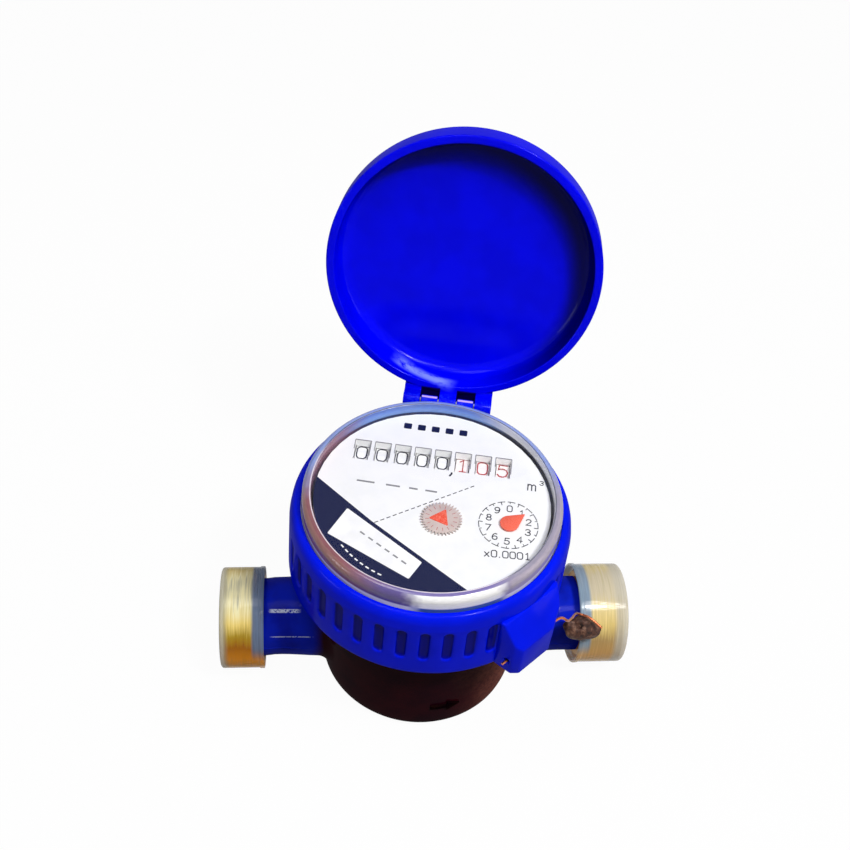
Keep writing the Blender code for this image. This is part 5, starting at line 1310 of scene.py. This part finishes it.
def makeNeedle():
    n = needle
    taper = math.asin(n["bulb"] / n["length"])
    first, last = math.pi / 2 - taper, math.tau - math.pi / 2 + taper
    outline = [(n["bulb"] * math.cos(first + (last - first) * k / 36),
                n["bulb"] * math.sin(first + (last - first) * k / 36))
               for k in range(37)]
    outline.append((n["length"], 0.0))
    bm = bmesh.new()
    slab(bm, outline, n["z"], n["z"] + n["thickness"])
    place = (registerTurn @ Matrix.Translation((*dial["pointer"], 0))
             @ Matrix.Rotation(math.radians(n["angle"]), 4, "Z"))
    drop = addPiece("needle", bm, "redPlastic", "pointer", ("dial_pointer",), 30, place)
    bevelled(drop, 0.18, 3, 50)


makeStar()
makeNeedle()
print("star and needle made")


# Lead seal and copper wire

seal = {"centre": (43.4, -13.4, 27.2), "length": 11.2, "width": 7.4, "thickness": 4.8, "wire": 0.34}


def curveThrough(places, steps):
    points = [Vector(spot) for spot in places]
    points = [points[0] * 2 - points[1]] + points + [points[-1] * 2 - points[-2]]
    path = []
    for a, b, c, d in zip(points, points[1:], points[2:], points[3:]):
        for step in range(steps):
            t = step / steps
            path.append((b * 2 + (c - a) * t + (a * 2 - b * 5 + c * 4 - d) * t * t
                         + (b * 3 - a - c * 3 + d) * t ** 3) / 2)
    path.append(points[-2])
    return path


def wireAlong(bm, path, radius, sides=10):
    rows = []
    side = Vector((0, 0, 1))
    for i, spot in enumerate(path):
        ahead = (path[min(i + 1, len(path) - 1)] - path[max(i - 1, 0)]).normalized()
        side = (side - ahead * side.dot(ahead)).normalized()
        other = ahead.cross(side)
        rows.append([spot + (side * math.cos(math.tau * k / sides)
                             + other * math.sin(math.tau * k / sides)) * radius
                     for k in range(sides)])
    skin(bm, [[path[0]]] + rows + [[path[-1]]])


def makeSeal():
    s = seal
    bm = bmesh.new()
    bmesh.ops.create_icosphere(bm, subdivisions=5, radius=0.5)
    for vert in bm.verts:
        p = vert.co
        taper = 1.0 - 0.45 * max(p.x, 0.0) * 2
        lump = 0.045 * math.sin(9 * p.x + 4 * p.y) + 0.035 * math.sin(13 * p.y - 7 * p.z) \
            + 0.025 * math.sin(21 * p.x + 17 * p.z + 1)
        hollow = 0.16 * math.exp(-((p.x + 0.22) ** 2 + (p.y - 0.16) ** 2) / 0.012) * (1 if p.z > 0 else 0)
        p.y *= taper
        p.z *= taper
        vert.co = p * (1 + lump - hollow * 1.6 - 0.05)
    bmesh.ops.scale(bm, vec=(s["length"], s["width"], s["thickness"]), verts=bm.verts)
    place = Matrix.Translation(s["centre"]) @ Matrix.Rotation(math.radians(-4), 4, "Z") \
        @ Matrix.Rotation(math.radians(8), 4, "Y") @ Matrix.Rotation(math.radians(50), 4, "X")
    addPiece("leadSeal", bm, "lead", "meter", ("lead_seal",), 60, place)
    turn = Matrix.Rotation(math.radians(-10.3 + ring["lugAngle"]), 4, "Z")
    reach, height, half = ring["lugReach"] - 3.0, ring["lugHoleZ"], ring["lugWidth"] / 2
    lead = Vector(s["centre"])
    path = [turn @ Vector((reach, -half - 1.1, height)), turn @ Vector((reach, 0, height)),
            turn @ Vector((reach, half * 0.95, height)), turn @ Vector((reach + 1.0, half + 3.0, height - 3.0)),
            lead + Vector((-3.8, -1.2, 8.8)), lead + Vector((-1.6, 1.6, 4.6)), lead + Vector((1.0, 0.4, 4.6)),
            lead + Vector((4.2, -2.2, 3.4))]
    bm = bmesh.new()
    wireAlong(bm, curveThrough(path, 10), s["wire"])
    addPiece("sealWire", bm, "copper", "meter", ("seal_wire",), 60)


makeSeal()
print("seal made")


# Finishes of the CAD solids that show as they are

carried = {
    "white_plastic": "whitePlastic", "white_dial": "dialWhite",
    "black_wheel": "wheelBlack", "red_wheel": "wheelRed",
    "steel": "steel", "magnet": "magnet", "rubber": "rubber", "red_plastic": "redPlastic",
}
slotOf = {part["node"]: part["material_slot"] for part in frame["record"]["subparts"]}
for node, solid in frame["nodes"].items():
    look = carried.get(slotOf.get(node))
    if look:
        solid.data.materials.clear()
        solid.data.materials.append(finishes[look])
print("solids finished")
